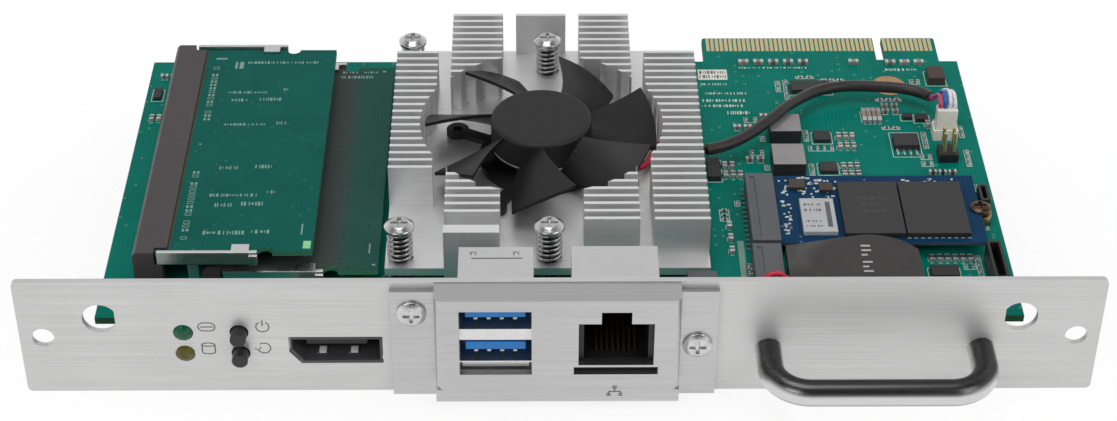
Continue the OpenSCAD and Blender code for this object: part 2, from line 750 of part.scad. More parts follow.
module disk_led() color("goldenrod") lamp(lower_z);

module indicator_board() color("teal") translate([indicator_x0, indicator_y, indicator_z - indicator_h / 2])
    cube([indicator_x1 - indicator_x0, indicator_t, indicator_h]);

module switch_bodies() color("dimgray") for (z = [upper_z, lower_z])
    translate([button_x, indicator_y - switch_d, z]) difference() {
        translate([-switch_w / 2, 0, -switch_w / 2]) cube([switch_w, switch_d, switch_w]);
        translate([0, -over, 0]) rod(stem_d + 2 * switch_play, stem_bore_l + over);
    }

// Push button: cap through the faceplate, collar behind it and stem in the switch
module push_button(z) translate([button_x, 0, z]) {
    collar_y = plate_t + collar_gap;
    translate([0, -button_reach, 0]) rod(button_d, button_reach + collar_y);
    translate([0, collar_y, 0]) rod(collar_d, collar_t);
    translate([0, collar_y, 0]) rod(stem_d, collar_t + stem_l);
}

module power_button() color("black") push_button(upper_z);

module reset_button() color("black") push_button(lower_z);

module display_port_shell() color("gray") {
    difference() {
        sheet(plate_t + dp_d) dp_outline(-dp_play);
        translate([0, -over, 0]) sheet(plate_t + dp_d) dp_outline(-dp_play - usb_wall);
    }
    for (side = [-1, 1]) translate([dp_x + side * dp_spring_x - dp_spring[0] / 2, dp_spring_y,
        dp_z - dp_h / 2 + dp_play + usb_wall - seat_play])
        cube(dp_spring);
}

module display_port_insert() color("black") {
    translate([0, plate_t + dp_d - 1 - 3, 0]) sheet(3) dp_outline(-dp_play - usb_wall);
    translate([dp_x - dp_w / 2 + 3, 2, dp_z - 0.2]) cube([dp_w - 6, dp_d - 4, 1.6]);
}

// Lower corner of serial port mouth i
function usb_mouth_z(i) = usb_lip + i * (usb_mouth_h + usb_gap);

module usb_shell() color("silver") translate([usb_x, port_front, board_z - port_sink]) {
    difference() {
        translate([-usb_w / 2, 0, 0]) cube([usb_w, usb_d, usb_h]);
        for (i = [0, 1]) translate([-usb_w / 2 + usb_wall, -over, usb_mouth_z(i)])
            cube([usb_w - 2 * usb_wall, usb_cavity_d + over, usb_mouth_h]);
        translate([-usb_w / 2 + usb_wall, -over, usb_wall])
            cube([usb_w - 2 * usb_wall, usb_recess + over, usb_lip - 2 * usb_wall]);
    }
    translate([-usb_w / 2 + 2 * usb_wall, usb_lip_y, usb_lip_z])
        cube([usb_w - 4 * usb_wall, usb_recess, usb_lip_t]);
}

module usb_inserts() color("royalblue") for (i = [0, 1])
    translate([usb_x, port_front, board_z - port_sink + usb_mouth_z(i)]) {
        translate([-usb_w / 2 + usb_wall, usb_cavity_d - usb_block_d, 0])
            cube([usb_w - 2 * usb_wall, usb_block_d, usb_mouth_h]);
        translate([-usb_tongue_w / 2, usb_tongue_y, usb_tongue_rise])
            cube([usb_tongue_w, usb_cavity_d - usb_block_d, usb_tongue_t]);
    }

module usb_contacts() color("gold") for (i = [0, 1], k = [-1.5:1:1.5])
    translate([usb_x + k * usb_contact_pitch - usb_contact_w / 2, port_front + 2 * usb_tongue_y,
        board_z - port_sink + usb_mouth_z(i) + usb_tongue_rise - usb_contact_t])
        cube([usb_contact_w, usb_cavity_d - usb_block_d - 2 * usb_tongue_y, usb_contact_t]);

// Put a child at the middle of the network jack's lower front edge
module at_jack() translate([jack_x, port_front, board_z - port_sink]) children();

// Space inside the network jack for the plug and its latch
module plug_space(depth) {
    translate([-plug_w / 2, -over, plug_z0]) cube([plug_w, depth + over, plug_h]);
    translate([-latch_w / 2, -over, plug_z0]) cube([latch_w, depth + over, plug_h + latch_h]);
}

module network_jack_shell() color("silver") at_jack() difference() {
    translate([-jack_w / 2, 0, 0]) cube([jack_w, jack_d, jack_h]);
    translate([-jack_w / 2 + jack_wall, -over, -over])
        cube([jack_w - 2 * jack_wall, jack_d - jack_wall + over, jack_h - jack_wall + over]);
}

module network_jack_insert() color("black") at_jack() difference() {
    translate([-jack_w / 2 + jack_wall, jack_front, 0])
        cube([jack_w - 2 * jack_wall, jack_d - jack_wall - jack_front, jack_h - jack_wall]);
    plug_space(plug_d);
}

// Slanting contact wires on the floor of the jack
module network_contacts() color("gold") at_jack() for (i = [0:jack_contact_n - 1])
    translate([(i - (jack_contact_n - 1) / 2) * jack_contact_pitch - jack_wall / 2, 0, plug_z0])
        along_x(jack_wall) polygon([[2.2, jack_wall], [2.6, 0], [plug_d, 0], [plug_d, jack_wall],
            [3.2, jack_wall], [8, 2.6], [8, 3]]);

// Plan of the main board with its tongue and its front and corner cut-outs
module board_plan() difference() {
    union() {
        translate([-board_side, board_y0]) square([board_w, board_d]);
        translate([tongue_x, board_y1 - 1]) polygon([[0, 0], [tongue_w, 0],
            [tongue_w, tongue_l + 1 - tongue_chamfer], [tongue_w - tongue_chamfer, tongue_l + 1],
            [tongue_chamfer, tongue_l + 1], [0, tongue_l + 1 - tongue_chamfer]]);
    }
    for (side = [-1, 1]) translate([side * board_side, board_y0])
        square([2 * corner_cut[0], 2 * corner_cut[1]], center = true);
    translate([indicator_x0 - cutout_gap, board_y0 - over])
        square([indicator_x1 - indicator_x0 + 2 * cutout_gap, indicator_y + indicator_t - board_y0 + over]);
    translate([dp_x - dp_w / 2 - cutout_gap, board_y0 - over])
        square([dp_w + 2 * cutout_gap, plate_t + dp_d + cutout_gap - board_y0 + over]);
    translate([usb_x - usb_w / 2 - cutout_gap, board_y0 - over])
        square([usb_w + 2 * cutout_gap, port_front + usb_d + cutout_gap - board_y0 + over]);
    translate([jack_x - jack_w / 2 - cutout_gap, board_y0 - over])
        square([jack_w + 2 * cutout_gap, port_front + jack_d + cutout_gap - board_y0 + over]);
    translate([ear_right_screw[0] - nut_cut_w / 2, board_y0 - over]) square([nut_cut_w, nut_cut_d + over]);
    translate([tongue_x + tongue_w - key_inset - key_w, board_y1 + 0.6]) square([key_w, tongue_l + over]);
    for (x = concat([angle_left_screw_x], board_screw_right)) translate([x, board_screw_y])
        circle(d = m3_clear);
    for (x = screw_xs, y = screw_ys) translate([x, y]) circle(d = boss_d + 0.4);
    translate(plated_hole) circle(d = m3_clear);
}

module main_board() color("seagreen") translate([0, 0, board_z - board_t])
    linear_extrude(board_t) board_plan();

// Gold contacts on both faces of the tongue, left out at the key slot
module edge_contacts() color("gold") {
    n = floor((tongue_w - 2) / contact_pitch);
    key_mid = tongue_w - key_inset - key_w / 2;
    for (i = [0:n], z = [board_z, board_z - board_t - 0.05]) {
        x = (tongue_w - n * contact_pitch) / 2 + i * contact_pitch;
        if (abs(x - key_mid) > key_w / 2 + contact_w / 2)
            translate([tongue_x + x - contact_w / 2, board_y1 + tongue_l - contact_end - contact_l, z])
                cube([contact_w, contact_l, 0.05]);
    }
}

// Memory socket: a long bar with a slot for the board and a chamfered back edge
module memory_socket(x, w, h, slot_z) on_board() translate([x, dimm_y0 - socket_end, 0]) difference() {
    sheet(dimm_w + 2 * socket_end) polygon([[0, 0], [w - 1, 0], [w - 1, slot_z - 1.2],
        [w, slot_z - 0.8], [w, h], [0.6, h], [0, h - 0.6]]);
    translate([w - dimm_bite, socket_end - slot_play, slot_z - slot_play])
        cube([dimm_bite + over, dimm_w + 2 * slot_play, dimm_t + 2 * slot_play]);
    for (y = [-1, dimm_w + 2 * socket_end - latch_t - 1]) translate([w - 2.4, y, slot_z - latch_rise - 0.2])
        cube([3, latch_t + 2, latch_rise + 2 + dimm_t]);
}

module upper_memory_socket() color("dimgray")
    memory_socket(upper_socket_x, upper_socket_w, upper_socket_h, upper_dimm_z);

module lower_memory_socket() color("dimgray")
    memory_socket(lower_socket_x, lower_socket_w, lower_socket_h, lower_dimm_z);

// Memory board with two round latch notches and a key notch in its contact edge
module memory_board(x, z) on_board() translate([x, dimm_y0, z]) linear_extrude(dimm_t) difference() {
    square([dimm_d, dimm_w]);
    for (y = [0, dimm_w]) translate([dimm_notch_x, y]) circle(dimm_notch_r);
    translate([-over, dimm_w * 0.42]) square([over + 2, 1.6]);
}

module upper_memory_board() color("darkgreen") memory_board(upper_dimm_x, upper_dimm_z);

module lower_memory_board() color("darkgreen") memory_board(lower_dimm_x, lower_dimm_z);

// Four chips on top of the lower board and four below the upper board
module memory_chips() color("black") on_board() for (i = [0:3]) {
    y = dimm_y0 + dimm_w / 2 + (i - 1.5) * chip_pitch - chip_w / 2;
    translate([upper_dimm_x + 6, y, upper_dimm_z - chip_t]) cube([memory_chip_l, chip_w, chip_t]);
    translate([lower_dimm_x + 6, y, lower_dimm_z + dimm_t])
        cube([memory_chip_l, chip_w, chip_t]);
}

// Spring latch at one end of a memory board: its arm, and a hook over the board's edge
module latch(x, z, side) on_board() translate([x, dimm_y0 + dimm_w / 2, 0]) mirror([0, side > 0 ? 1 : 0, 0])
    translate([0, latch_y - dimm_y0 - dimm_w / 2, 0]) {
        translate([0, 0, z - latch_rise]) cube([latch_l, latch_t, latch_rise + dimm_t + 0.1 + latch_hook_t]);
        translate([latch_hook_x, 0, z + dimm_t + 0.1])
            cube([latch_hook_w, latch_t + latch_gap + latch_hook_reach, latch_hook_t]);
        translate([latch_l - 1.6, -0.4, z - latch_rise]) cube([1.6, 0.5, latch_rise + dimm_t]);
    }

module upper_latch_front() color("silver") latch(upper_socket_x + upper_socket_w - 1.9, upper_dimm_z, -1);

module upper_latch_back() color("silver") latch(upper_socket_x + upper_socket_w - 1.9, upper_dimm_z, 1);

module lower_latch_front() color("silver") latch(lower_socket_x + lower_socket_w - 1.9, lower_dimm_z, -1);

module lower_latch_back() color("silver") latch(lower_socket_x + lower_socket_w - 1.9, lower_dimm_z, 1);

// Solder posts that stand under the arms of the upper latches
module latch_posts() color("silver") on_board() for (y = [latch_y, 2 * dimm_y0 + dimm_w - latch_y - post_t])
    translate([lower_socket_x - post_w - 0.4, y, 0]) cube([post_w, post_t, upper_dimm_z - latch_rise - 0.3]);

module processor() color("darkslategray") on_board() {
    translate([processor_x - processor_size[0] / 2, fan_y - processor_size[1] / 2, 0])
        cube([processor_size[0], processor_size[1], substrate_h]);
    translate([processor_x - die_size[0] / 2, fan_y - die_size[1] / 2, substrate_h])
        cube([die_size[0], die_size[1], processor_h - substrate_h]);
}

// Cooler: base plate, five columns of cross-cut fins and a round recess for the fan
module heatsink() color("gainsboro") on_board() difference() {
    union() {
        translate([sink_x0, sink_y0, base_z0]) cube([sink_w, sink_y1 - sink_y0, sink_base_t]);
        for (i = [0:4]) {
            x0 = max(column_x(i) - column_half, sink_x0);
            x1 = min(column_x(i) + column_half, sink_x0 + sink_w);
            span = column_spans[i];
            translate([x0, 0, 0]) along_x(x1 - x0)
                polygon(comb(span[0], span[1], fin_count(span[0], span[1])));
        }
        translate([column_x(1) - column_half, end_block_y, base_z0])
            cube([column_w, end_block_t, sink_base_t + fin_h]);
    }
    translate([fan_x, fan_y, base_z1]) cylinder(r = recess_r, h = fin_h + over, $fn = 96);
    for (x = screw_xs, y = screw_ys) translate([x, y, base_z0 - over])
        cylinder(d = cooler_hole_d, h = sink_base_t + 2 * over);
}

module cooler_screws() color("lightgray") on_board() for (x = screw_xs, y = screw_ys)
    translate([x, y, base_z1 + spring_l])
        dome_screw(cooler_head_d, cooler_head_h, cooler_screw_d, spring_l + base_z1 + board_t + back_t);

// Centre line of a compression spring
function helix(r, h, turns, steps) = [for (i = [0:turns * steps]) let (a = 360 * i / steps)
    [r * cos(a), r * sin(a), h * i / (turns * steps)]];

module cooler_springs() color("lightgray") on_board() for (x = screw_xs, y = screw_ys)
    translate([x, y, base_z1 + spring_wire_d / 2])
        tube(helix((spring_d - spring_wire_d) / 2, spring_l - spring_wire_d, spring_turns, spring_steps),
            spring_wire_d, spring_sides);

// Steel plate below the board with a threaded boss at each cooler screw
module back_plate() color("gray") on_board() difference() {
    union() {
        translate([processor_x, fan_y, -board_t - back_t]) linear_extrude(back_t) difference() {
            square([screw_gap + 2 * back_margin, screw_span + 2 * back_margin], center = true);
            square([screw_gap - 2 * back_margin, screw_span - 2 * back_margin], center = true);
        }
        for (x = screw_xs, y = screw_ys) translate([x, y, -board_t]) cylinder(d = boss_d, h = boss_h);
    }
    for (x = screw_xs, y = screw_ys) translate([x, y, -board_t - back_t - over])
        cylinder(d = cooler_screw_d + 2 * seat_play, h = back_t + boss_h + 2 * over);
}

// Open fan base: a round plate, a post for the bearing and arms with eyelets
module fan_base() color("black") on_board() translate([fan_x, fan_y, base_z1]) difference() {
    union() {
        cylinder(r = fan_plate_r, h = fan_plate_t);
        cylinder(r = post_r, h = post_top - base_z1);
        for (i = [0:arm_n - 1]) rotate(arm_turn + i * 360 / arm_n) {
            translate([0, -arm_w / 2, 0]) cube([arm_r, arm_w, fan_plate_t]);
            translate([arm_r, 0, 0]) cylinder(r = eyelet_r, h = fan_plate_t);
        }
    }
    translate([0, 0, 0.4]) cylinder(r = bearing_r + seat_play, h = post_top);
    for (i = [0:arm_n - 1]) rotate(arm_turn + i * 360 / arm_n) translate([arm_r, 0, -over])
        cylinder(d = eyelet_hole_d, h = fan_plate_t + 2 * over);
}

// Stator: an iron core on the post with four poles
module fan_stator() color("saddlebrown") on_board() translate([fan_x, fan_y, stator_z0]) difference() {
    union() {
        cylinder(r = post_r + 2, h = stator_h);
        intersection() {
            cylinder(r = stator_r, h = stator_h);
            for (i = [0:pole_n - 1]) rotate(i * 360 / pole_n) {
                translate([0, -pole_w / 2, 0.6]) cube([stator_r, pole_w, stator_h - 1.2]);
                translate([stator_r - pole_shoe, -stator_r / 2, 0]) cube([pole_shoe, stator_r, stator_h]);
                translate([post_r + coil_in, -pole_w / 2 - coil_t, 0])
                    cube([stator_r - post_r - coil_in - pole_shoe, pole_w + 2 * coil_t, stator_h]);
            }
        }
    }
    translate([0, 0, -over]) cylinder(r = post_r + seat_play, h = stator_h + 2 * over);
}

module fan_bearing() color("goldenrod") on_board() translate([fan_x, fan_y, base_z1 + 0.4]) difference() {
    cylinder(r = bearing_r, h = post_top - base_z1 - 0.4);
    translate([0, 0, 0.6]) cylinder(r = shaft_r + shaft_play, h = post_top);
}

// Angle of a blade point: s runs from root to tip and c from the high edge to the low one
function blade_angle(s, c) = blade_start - blade_sweep * (1 - s) * (1 - s * 0.3) - c * blade_chord;

// Upper surface of a blade
function blade_top(s, c) = let (r = blade_root + s * (fan_d / 2 - blade_root), a = blade_angle(s, c))
    [r * cos(a), r * sin(a), -(blade_h - blade_t) * c + blade_camber * sin(180 * c)];

// One blade: a swept, cambered sheet closed by its lower surface and edges
module blade() {
    n = blade_steps;
    m = n + 1;
    top = [for (i = [0:n], j = [0:n]) blade_top(i / n, j / n)];
    low = [for (p = top) p - [0, 0, blade_t]];
    faces_top = [for (i = [0:n - 1], j = [0:n - 1], h = [0, 1]) let (a = i * m + j, b = a + m)
        h == 0 ? [a, b, b + 1] : [a, b + 1, a + 1]];
    faces_low = [for (f = faces_top) [f[2] + m * m, f[1] + m * m, f[0] + m * m]];
    rim = concat([for (j = [0:n - 1]) j], [for (i = [0:n - 1]) i * m + n], [for (j = [n:-1:1]) n * m + j],
        [for (i = [n:-1:1]) i * m]);
    last = len(rim) - 1;
    sides = [for (k = [0:last]) let (a = rim[k], b = rim[k == last ? 0 : k + 1])
        [a, b, b + m * m, a + m * m]];
    polyhedron(concat(top, low), concat(faces_top, faces_low, sides));
}

// Rotor: cup with a rounded rim, shaft and swept blades
module fan_rotor() color("dimgray") on_board() translate([fan_x, fan_y, 0]) {
    r = hub_d / 2;
    cup_z0 = hub_z1 - hub_skirt;
    rotate_extrude($fn = 96) difference() {
        union() {
            translate([0, cup_z0]) square([r, hub_skirt - hub_edge_r]);
            translate([0, cup_z0]) square([r - hub_edge_r, hub_skirt]);
            translate([r - hub_edge_r, hub_z1 - hub_edge_r]) circle(hub_edge_r);
        }
        translate([shaft_r, cup_z0 - over]) square([r - hub_wall - shaft_r, hub_skirt - hub_top_t + over]);
        translate([-r, cup_z0 - over]) square([r, hub_skirt + 2 * over]);
    }
    translate([0, 0, base_z1 + 1.2]) cylinder(r = shaft_r, h = cup_z0 - base_z1);
    for (i = [0:blade_count - 1]) rotate(i * 360 / blade_count) translate([0, 0, blade_z1]) blade();
}

module fan_lead() color("black") on_board() tube(lead_route, lead_d, 8);

module fan_wires() color("red") on_board() {
    for (route = inner_routes) tube(route, wire_d, 6);
    for (route = tail_bends) tube(concat([lead_route[len(lead_route) - 1]], route,
        [[route[3][0], plug_pos[1] + plug_size[1] / 2, plug_pos[2] + plug_size[2]]]), wire_d * 0.8, 6);
}

module fan_plug() color("white") on_board() translate(plug_pos) cube(plug_size);

module fan_header() color("ivory") on_board() difference() {
    translate([plug_pos[0] - header_wall, plug_pos[1] - header_wall, 0])
        cube([plug_size[0] + 2 * header_wall, plug_size[1] + 2 * header_wall, header_h + 1]);
    translate([plug_pos[0] - slot_play, plug_pos[1] - slot_play, plug_pos[2]])
        cube([plug_size[0] + 2 * slot_play, plug_size[1] + 2 * slot_play, header_h + over]);
}

// Card-edge socket that takes a card from the right, with a row of solder legs on its left
module card_edge_socket(x, y) on_board() translate([x, y, 0]) {
    difference() {
        translate([0, -ssd_w / 2, 0]) cube([card_socket_w, ssd_w, card_socket_h]);
        translate([card_socket_w - card_bite - slot_play, -card_tongue_w / 2 - slot_play, ssd_z - slot_play])
            cube([card_bite + over, card_tongue_w + 2 * slot_play, ssd_t + 2 * slot_play]);
        translate([0.8, -ssd_w / 2 + 1, card_socket_h - 0.3]) cube([1, ssd_w - 2, 1]);
    }
    for (k = [-9:1.5:9]) translate([-0.8, k - 0.25, 0]) cube([0.9, 0.5, 0.4]);
}

module drive_socket() color("dimgray") card_edge_socket(drive_socket_x, ssd_y);

module card_socket() color("dimgray") card_edge_socket(card_socket_x, card_socket_y);

module drive_board() color("navy") on_board() translate([0, 0, ssd_z]) linear_extrude(ssd_t) difference() {
    union() {
        translate([ssd_x0 + card_bite + slot_play, ssd_y - ssd_w / 2])
            square([ssd_l - card_bite - slot_play, ssd_w]);
        translate([ssd_x0, ssd_y - card_tongue_w / 2]) square([card_bite + over, card_tongue_w]);
    }
    translate([ssd_x1, ssd_y]) circle(drive_notch_r);
}

module drive_chips() color("black") on_board() for (p = drive_parts)
    translate([p[0], p[1], ssd_z + ssd_t]) cube([p[2], p[3], p[4]]);

module drive_standoff() color("goldenrod") on_board() translate([ssd_x1, ssd_y, 0]) difference() {
    cylinder(d = standoff_d, h = ssd_z);
    translate([0, 0, 0.4]) cylinder(d = standoff_bore_d + 2 * seat_play, h = ssd_z);
}

module drive_screw() color("peru") on_board() translate([ssd_x1, ssd_y, ssd_z + ssd_t])
    dome_screw(drive_screw_head_d, drive_screw_head_h, standoff_bore_d, ssd_t + ssd_z - 0.6);

// Button cell in a black sleeve that is pressed flat on the left and cut straight on the right
module battery() color("black") on_board() translate([battery_x, battery_y, battery_pad_t]) difference() {
    hull() {
        cylinder(d = battery_d, h = battery_t, $fn = 96);
        translate([-sleeve_reach, -sleeve_end[1] / 2, (battery_t - sleeve_end[2]) / 2]) cube(sleeve_end);
    }
    translate([battery_cut, -battery_d, -over]) cube([battery_d, 2 * battery_d, battery_t + 2 * over]);
}

module battery_pad() color("gray") on_board()
    translate([battery_x - battery_pad_w / 2, battery_y - battery_pad_w / 2, 0])
        cube([battery_pad_w, battery_pad_w, battery_pad_t]);

module battery_wires() color("red") on_board() for (route = battery_routes) tube(route, wire_d, 6);

// Headers with their pins, and the battery's plug
module board_connectors() color("black") on_board() {
    for (p = header_blocks) translate([p[0], p[1], 0]) difference() {
        cube([p[2], p[3], p[4]]);
        translate([0.6, 0.6, 1]) cube([p[2] - 1.2, p[3] - 1.2, p[4]]);
    }
    translate([pin_block[0], pin_block[1], 0]) {
        cube([2 * pin_pitch, 2 * pin_pitch, pin_pitch]);
        for (i = [0.5, 1.5], j = [0.5, 1.5])
            translate([i * pin_pitch - pin_size / 2, j * pin_pitch - pin_size / 2, 0])
                cube([pin_size, pin_size, pin_h]);
    }
    translate(battery_plug_pos) cube(battery_plug_size);
}

// Black chips, with the legs of the eight-legged one
module board_chips() color("black") on_board() {
    for (p = chip_list) translate([p[0], p[1], 0]) cube([p[2], p[3], p[4]]);
    for (i = [0:soic_leg_n - 1], y = [soic[1] - soic_leg_l, soic[1] + soic[3]])
        translate([soic[0] + (i + 0.5) * soic[2] / soic_leg_n - soic_leg_w / 2, y, 0])
            cube([soic_leg_w, soic_leg_l, soic_leg_t]);
}

module inductors() color("gray") on_board() for (p = inductor_list) translate([p[0], p[1], 0])
    cube([p[2], p[3], p[4]]);

// Banks of small parts, each a row of equal blocks
module capacitors() color("tan") on_board() for (b = bank_list, i = [0:b[4] - 1])
    translate([b[0] + i * b[5], b[1], 0]) cube([b[2], b[3], cap_h]);

faceplate();
port_bracket();
bracket_screws();
clinch_nuts();
angle_brackets();
board_screws();
handle();
handle_screws();
power_led();
disk_led();
indicator_board();
switch_bodies();
power_button();
reset_button();
display_port_shell();
display_port_insert();
usb_shell();
usb_inserts();
usb_contacts();
network_jack_shell();
network_jack_insert();
network_contacts();
main_board();
edge_contacts();
upper_memory_socket();
lower_memory_socket();
upper_memory_board();
lower_memory_board();
memory_chips();
upper_latch_front();
upper_latch_back();
lower_latch_front();
lower_latch_back();
latch_posts();
processor();
heatsink();
cooler_screws();
cooler_springs();
back_plate();
fan_base();
fan_stator();
fan_bearing();
fan_rotor();
fan_lead();
fan_wires();
fan_plug();
fan_header();
drive_socket();
card_socket();
drive_board();
drive_chips();
drive_standoff();
drive_screw();
battery();
battery_pad();
battery_wires();
board_connectors();
board_chips();
inductors();
capacitors();
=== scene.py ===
"""Looks of a slot-in computer module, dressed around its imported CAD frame."""

import logging
import math
import random
from collections.abc import Callable, Sequence
from dataclasses import dataclass, field
from enum import Enum

import bpy
from mathutils import Matrix, Vector


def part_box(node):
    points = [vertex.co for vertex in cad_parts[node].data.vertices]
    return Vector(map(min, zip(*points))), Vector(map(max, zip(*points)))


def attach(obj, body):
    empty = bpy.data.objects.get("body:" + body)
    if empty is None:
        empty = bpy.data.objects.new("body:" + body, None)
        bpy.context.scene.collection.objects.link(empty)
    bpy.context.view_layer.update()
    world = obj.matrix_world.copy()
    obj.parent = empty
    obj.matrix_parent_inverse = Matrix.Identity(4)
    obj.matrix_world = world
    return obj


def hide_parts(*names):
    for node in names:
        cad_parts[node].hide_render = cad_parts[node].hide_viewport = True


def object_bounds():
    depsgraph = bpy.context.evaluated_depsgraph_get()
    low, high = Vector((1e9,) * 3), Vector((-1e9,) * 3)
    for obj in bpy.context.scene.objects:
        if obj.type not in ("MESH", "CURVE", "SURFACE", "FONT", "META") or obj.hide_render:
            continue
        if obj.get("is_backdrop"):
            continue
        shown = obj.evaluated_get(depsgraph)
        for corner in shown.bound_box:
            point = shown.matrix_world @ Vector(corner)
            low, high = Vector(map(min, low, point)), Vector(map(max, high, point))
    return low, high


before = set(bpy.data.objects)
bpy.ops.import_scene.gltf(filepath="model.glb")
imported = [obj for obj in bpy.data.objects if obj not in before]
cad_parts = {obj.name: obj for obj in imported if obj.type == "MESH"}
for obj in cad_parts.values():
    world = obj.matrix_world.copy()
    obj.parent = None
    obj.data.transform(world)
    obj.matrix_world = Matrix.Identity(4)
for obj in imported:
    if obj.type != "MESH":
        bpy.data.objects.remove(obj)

Color = tuple[float, float, float]
Point = tuple[float, float, float]
Pair = tuple[float, float]
Four = tuple[float, float, float, float]
Rows = tuple[tuple, ...]
Corners = tuple[Vector, Vector]
Piece = bpy.types.Object
Rule = Callable[[Vector, Vector], bool]

MM = 0.001
# Height of the main board's upper face, in millimetres.
BOARD_TOP = -1.5
# Vertices within this distance become one, and so do faces within this many degrees.
SAME_PLACE = 0.002 * MM
SAME_PLANE = 0.6
# Degrees by which smooth shading reaches beyond the angle of a sharp edge.
SMOOTH_OVER = 6.0
# How far a flat sign stands out of its face, in millimetres.
INK_OUT = 0.01
WHITE = (1.0, 1.0, 1.0, 1.0)
log = logging.getLogger("module")


def srgb(red: int, green: int, blue: int) -> Color:
    """Turn a colour as seen on a screen into a linear one.

    Args:
        red: Red channel from 0 to 255.
        green: Green channel from 0 to 255.
        blue: Blue channel from 0 to 255.

    Returns:
        The three linear channels.
    """
    return tuple(((c / 255 + 0.055) / 1.055) ** 2.4 if c > 10 else c / 255 / 12.92
                 for c in (red, green, blue))


def shade(color: Color, by: float) -> Color:
    """Multiply a colour by a number."""
    return tuple(min(c * by, 1.0) for c in color)


def smooth_route(points: Sequence[Point], steps: int = 5) -> list[Vector]:
    """Put a smooth line through the points of a route.

    Args:
        points: Points that the line passes through, in millimetres, with heights above the board.
        steps: Stretches between two neighbouring points.

    Returns:
        The points of the line, in metres.
    """
    knots = [(Vector(p) + Vector((0, 0, BOARD_TOP))) * MM for p in points]
    knots = [2 * knots[0] - knots[1], *knots, 2 * knots[-1] - knots[-2]]
    line = []
    for a, b, c, d in zip(knots, knots[1:], knots[2:], knots[3:]):
        for k in range(steps):
            t = k / steps
            line.append(0.5 * (2 * b + (c - a) * t + (2 * a - 5 * b + 4 * c - d) * t ** 2
                               + (3 * b - a - 3 * c + d) * t ** 3))
    return line + [knots[-2]]


def over(place: Vector, zone: Four) -> bool:
    """Whether a place stands over a zone, which is given by its low and its high corner."""
    return zone[0] < place.x < zone[2] and zone[1] < place.y < zone[3]


def moved(boxes: Sequence[Four], x: float, y: float) -> list[Four]:
    """Shift boxes, or lines of two points, by a place."""
    return [(x0 + x, y0 + y, x1 + x, y1 + y) for x0, y0, x1, y1 in boxes]


class Wire:
    """One shader value, which takes part in Python sums."""

    def __init__(self, shader: "Shader", socket: bpy.types.NodeSocket) -> None:
        """Keep the socket and the shader that it belongs to."""
        self.shader = shader
        self.socket = socket

    def math(self, operation: str, left: object, right: object) -> "Wire":
        """Add a Math node on two values."""
        return self.shader.node("ShaderNodeMath", {"operation": operation}, {0: left, 1: right})

    def __add__(self, other: object) -> "Wire":
        """Sum."""
        return self.math("ADD", self, other)

    __radd__ = __add__

    def __sub__(self, other: object) -> "Wire":
        """Difference."""
        return self.math("SUBTRACT", self, other)

    def __rsub__(self, other: object) -> "Wire":
        """Difference from a number."""
        return self.math("SUBTRACT", other, self)

    def __mul__(self, other: object) -> "Wire":
        """Product."""
        return self.math("MULTIPLY", self, other)

    __rmul__ = __mul__

    def __lt__(self, other: object) -> "Wire":
        """One where this value is the smaller."""
        return self.math("LESS_THAN", self, other)

    def __gt__(self, other: object) -> "Wire":
        """One where this value is the larger."""
        return self.math("GREATER_THAN", self, other)


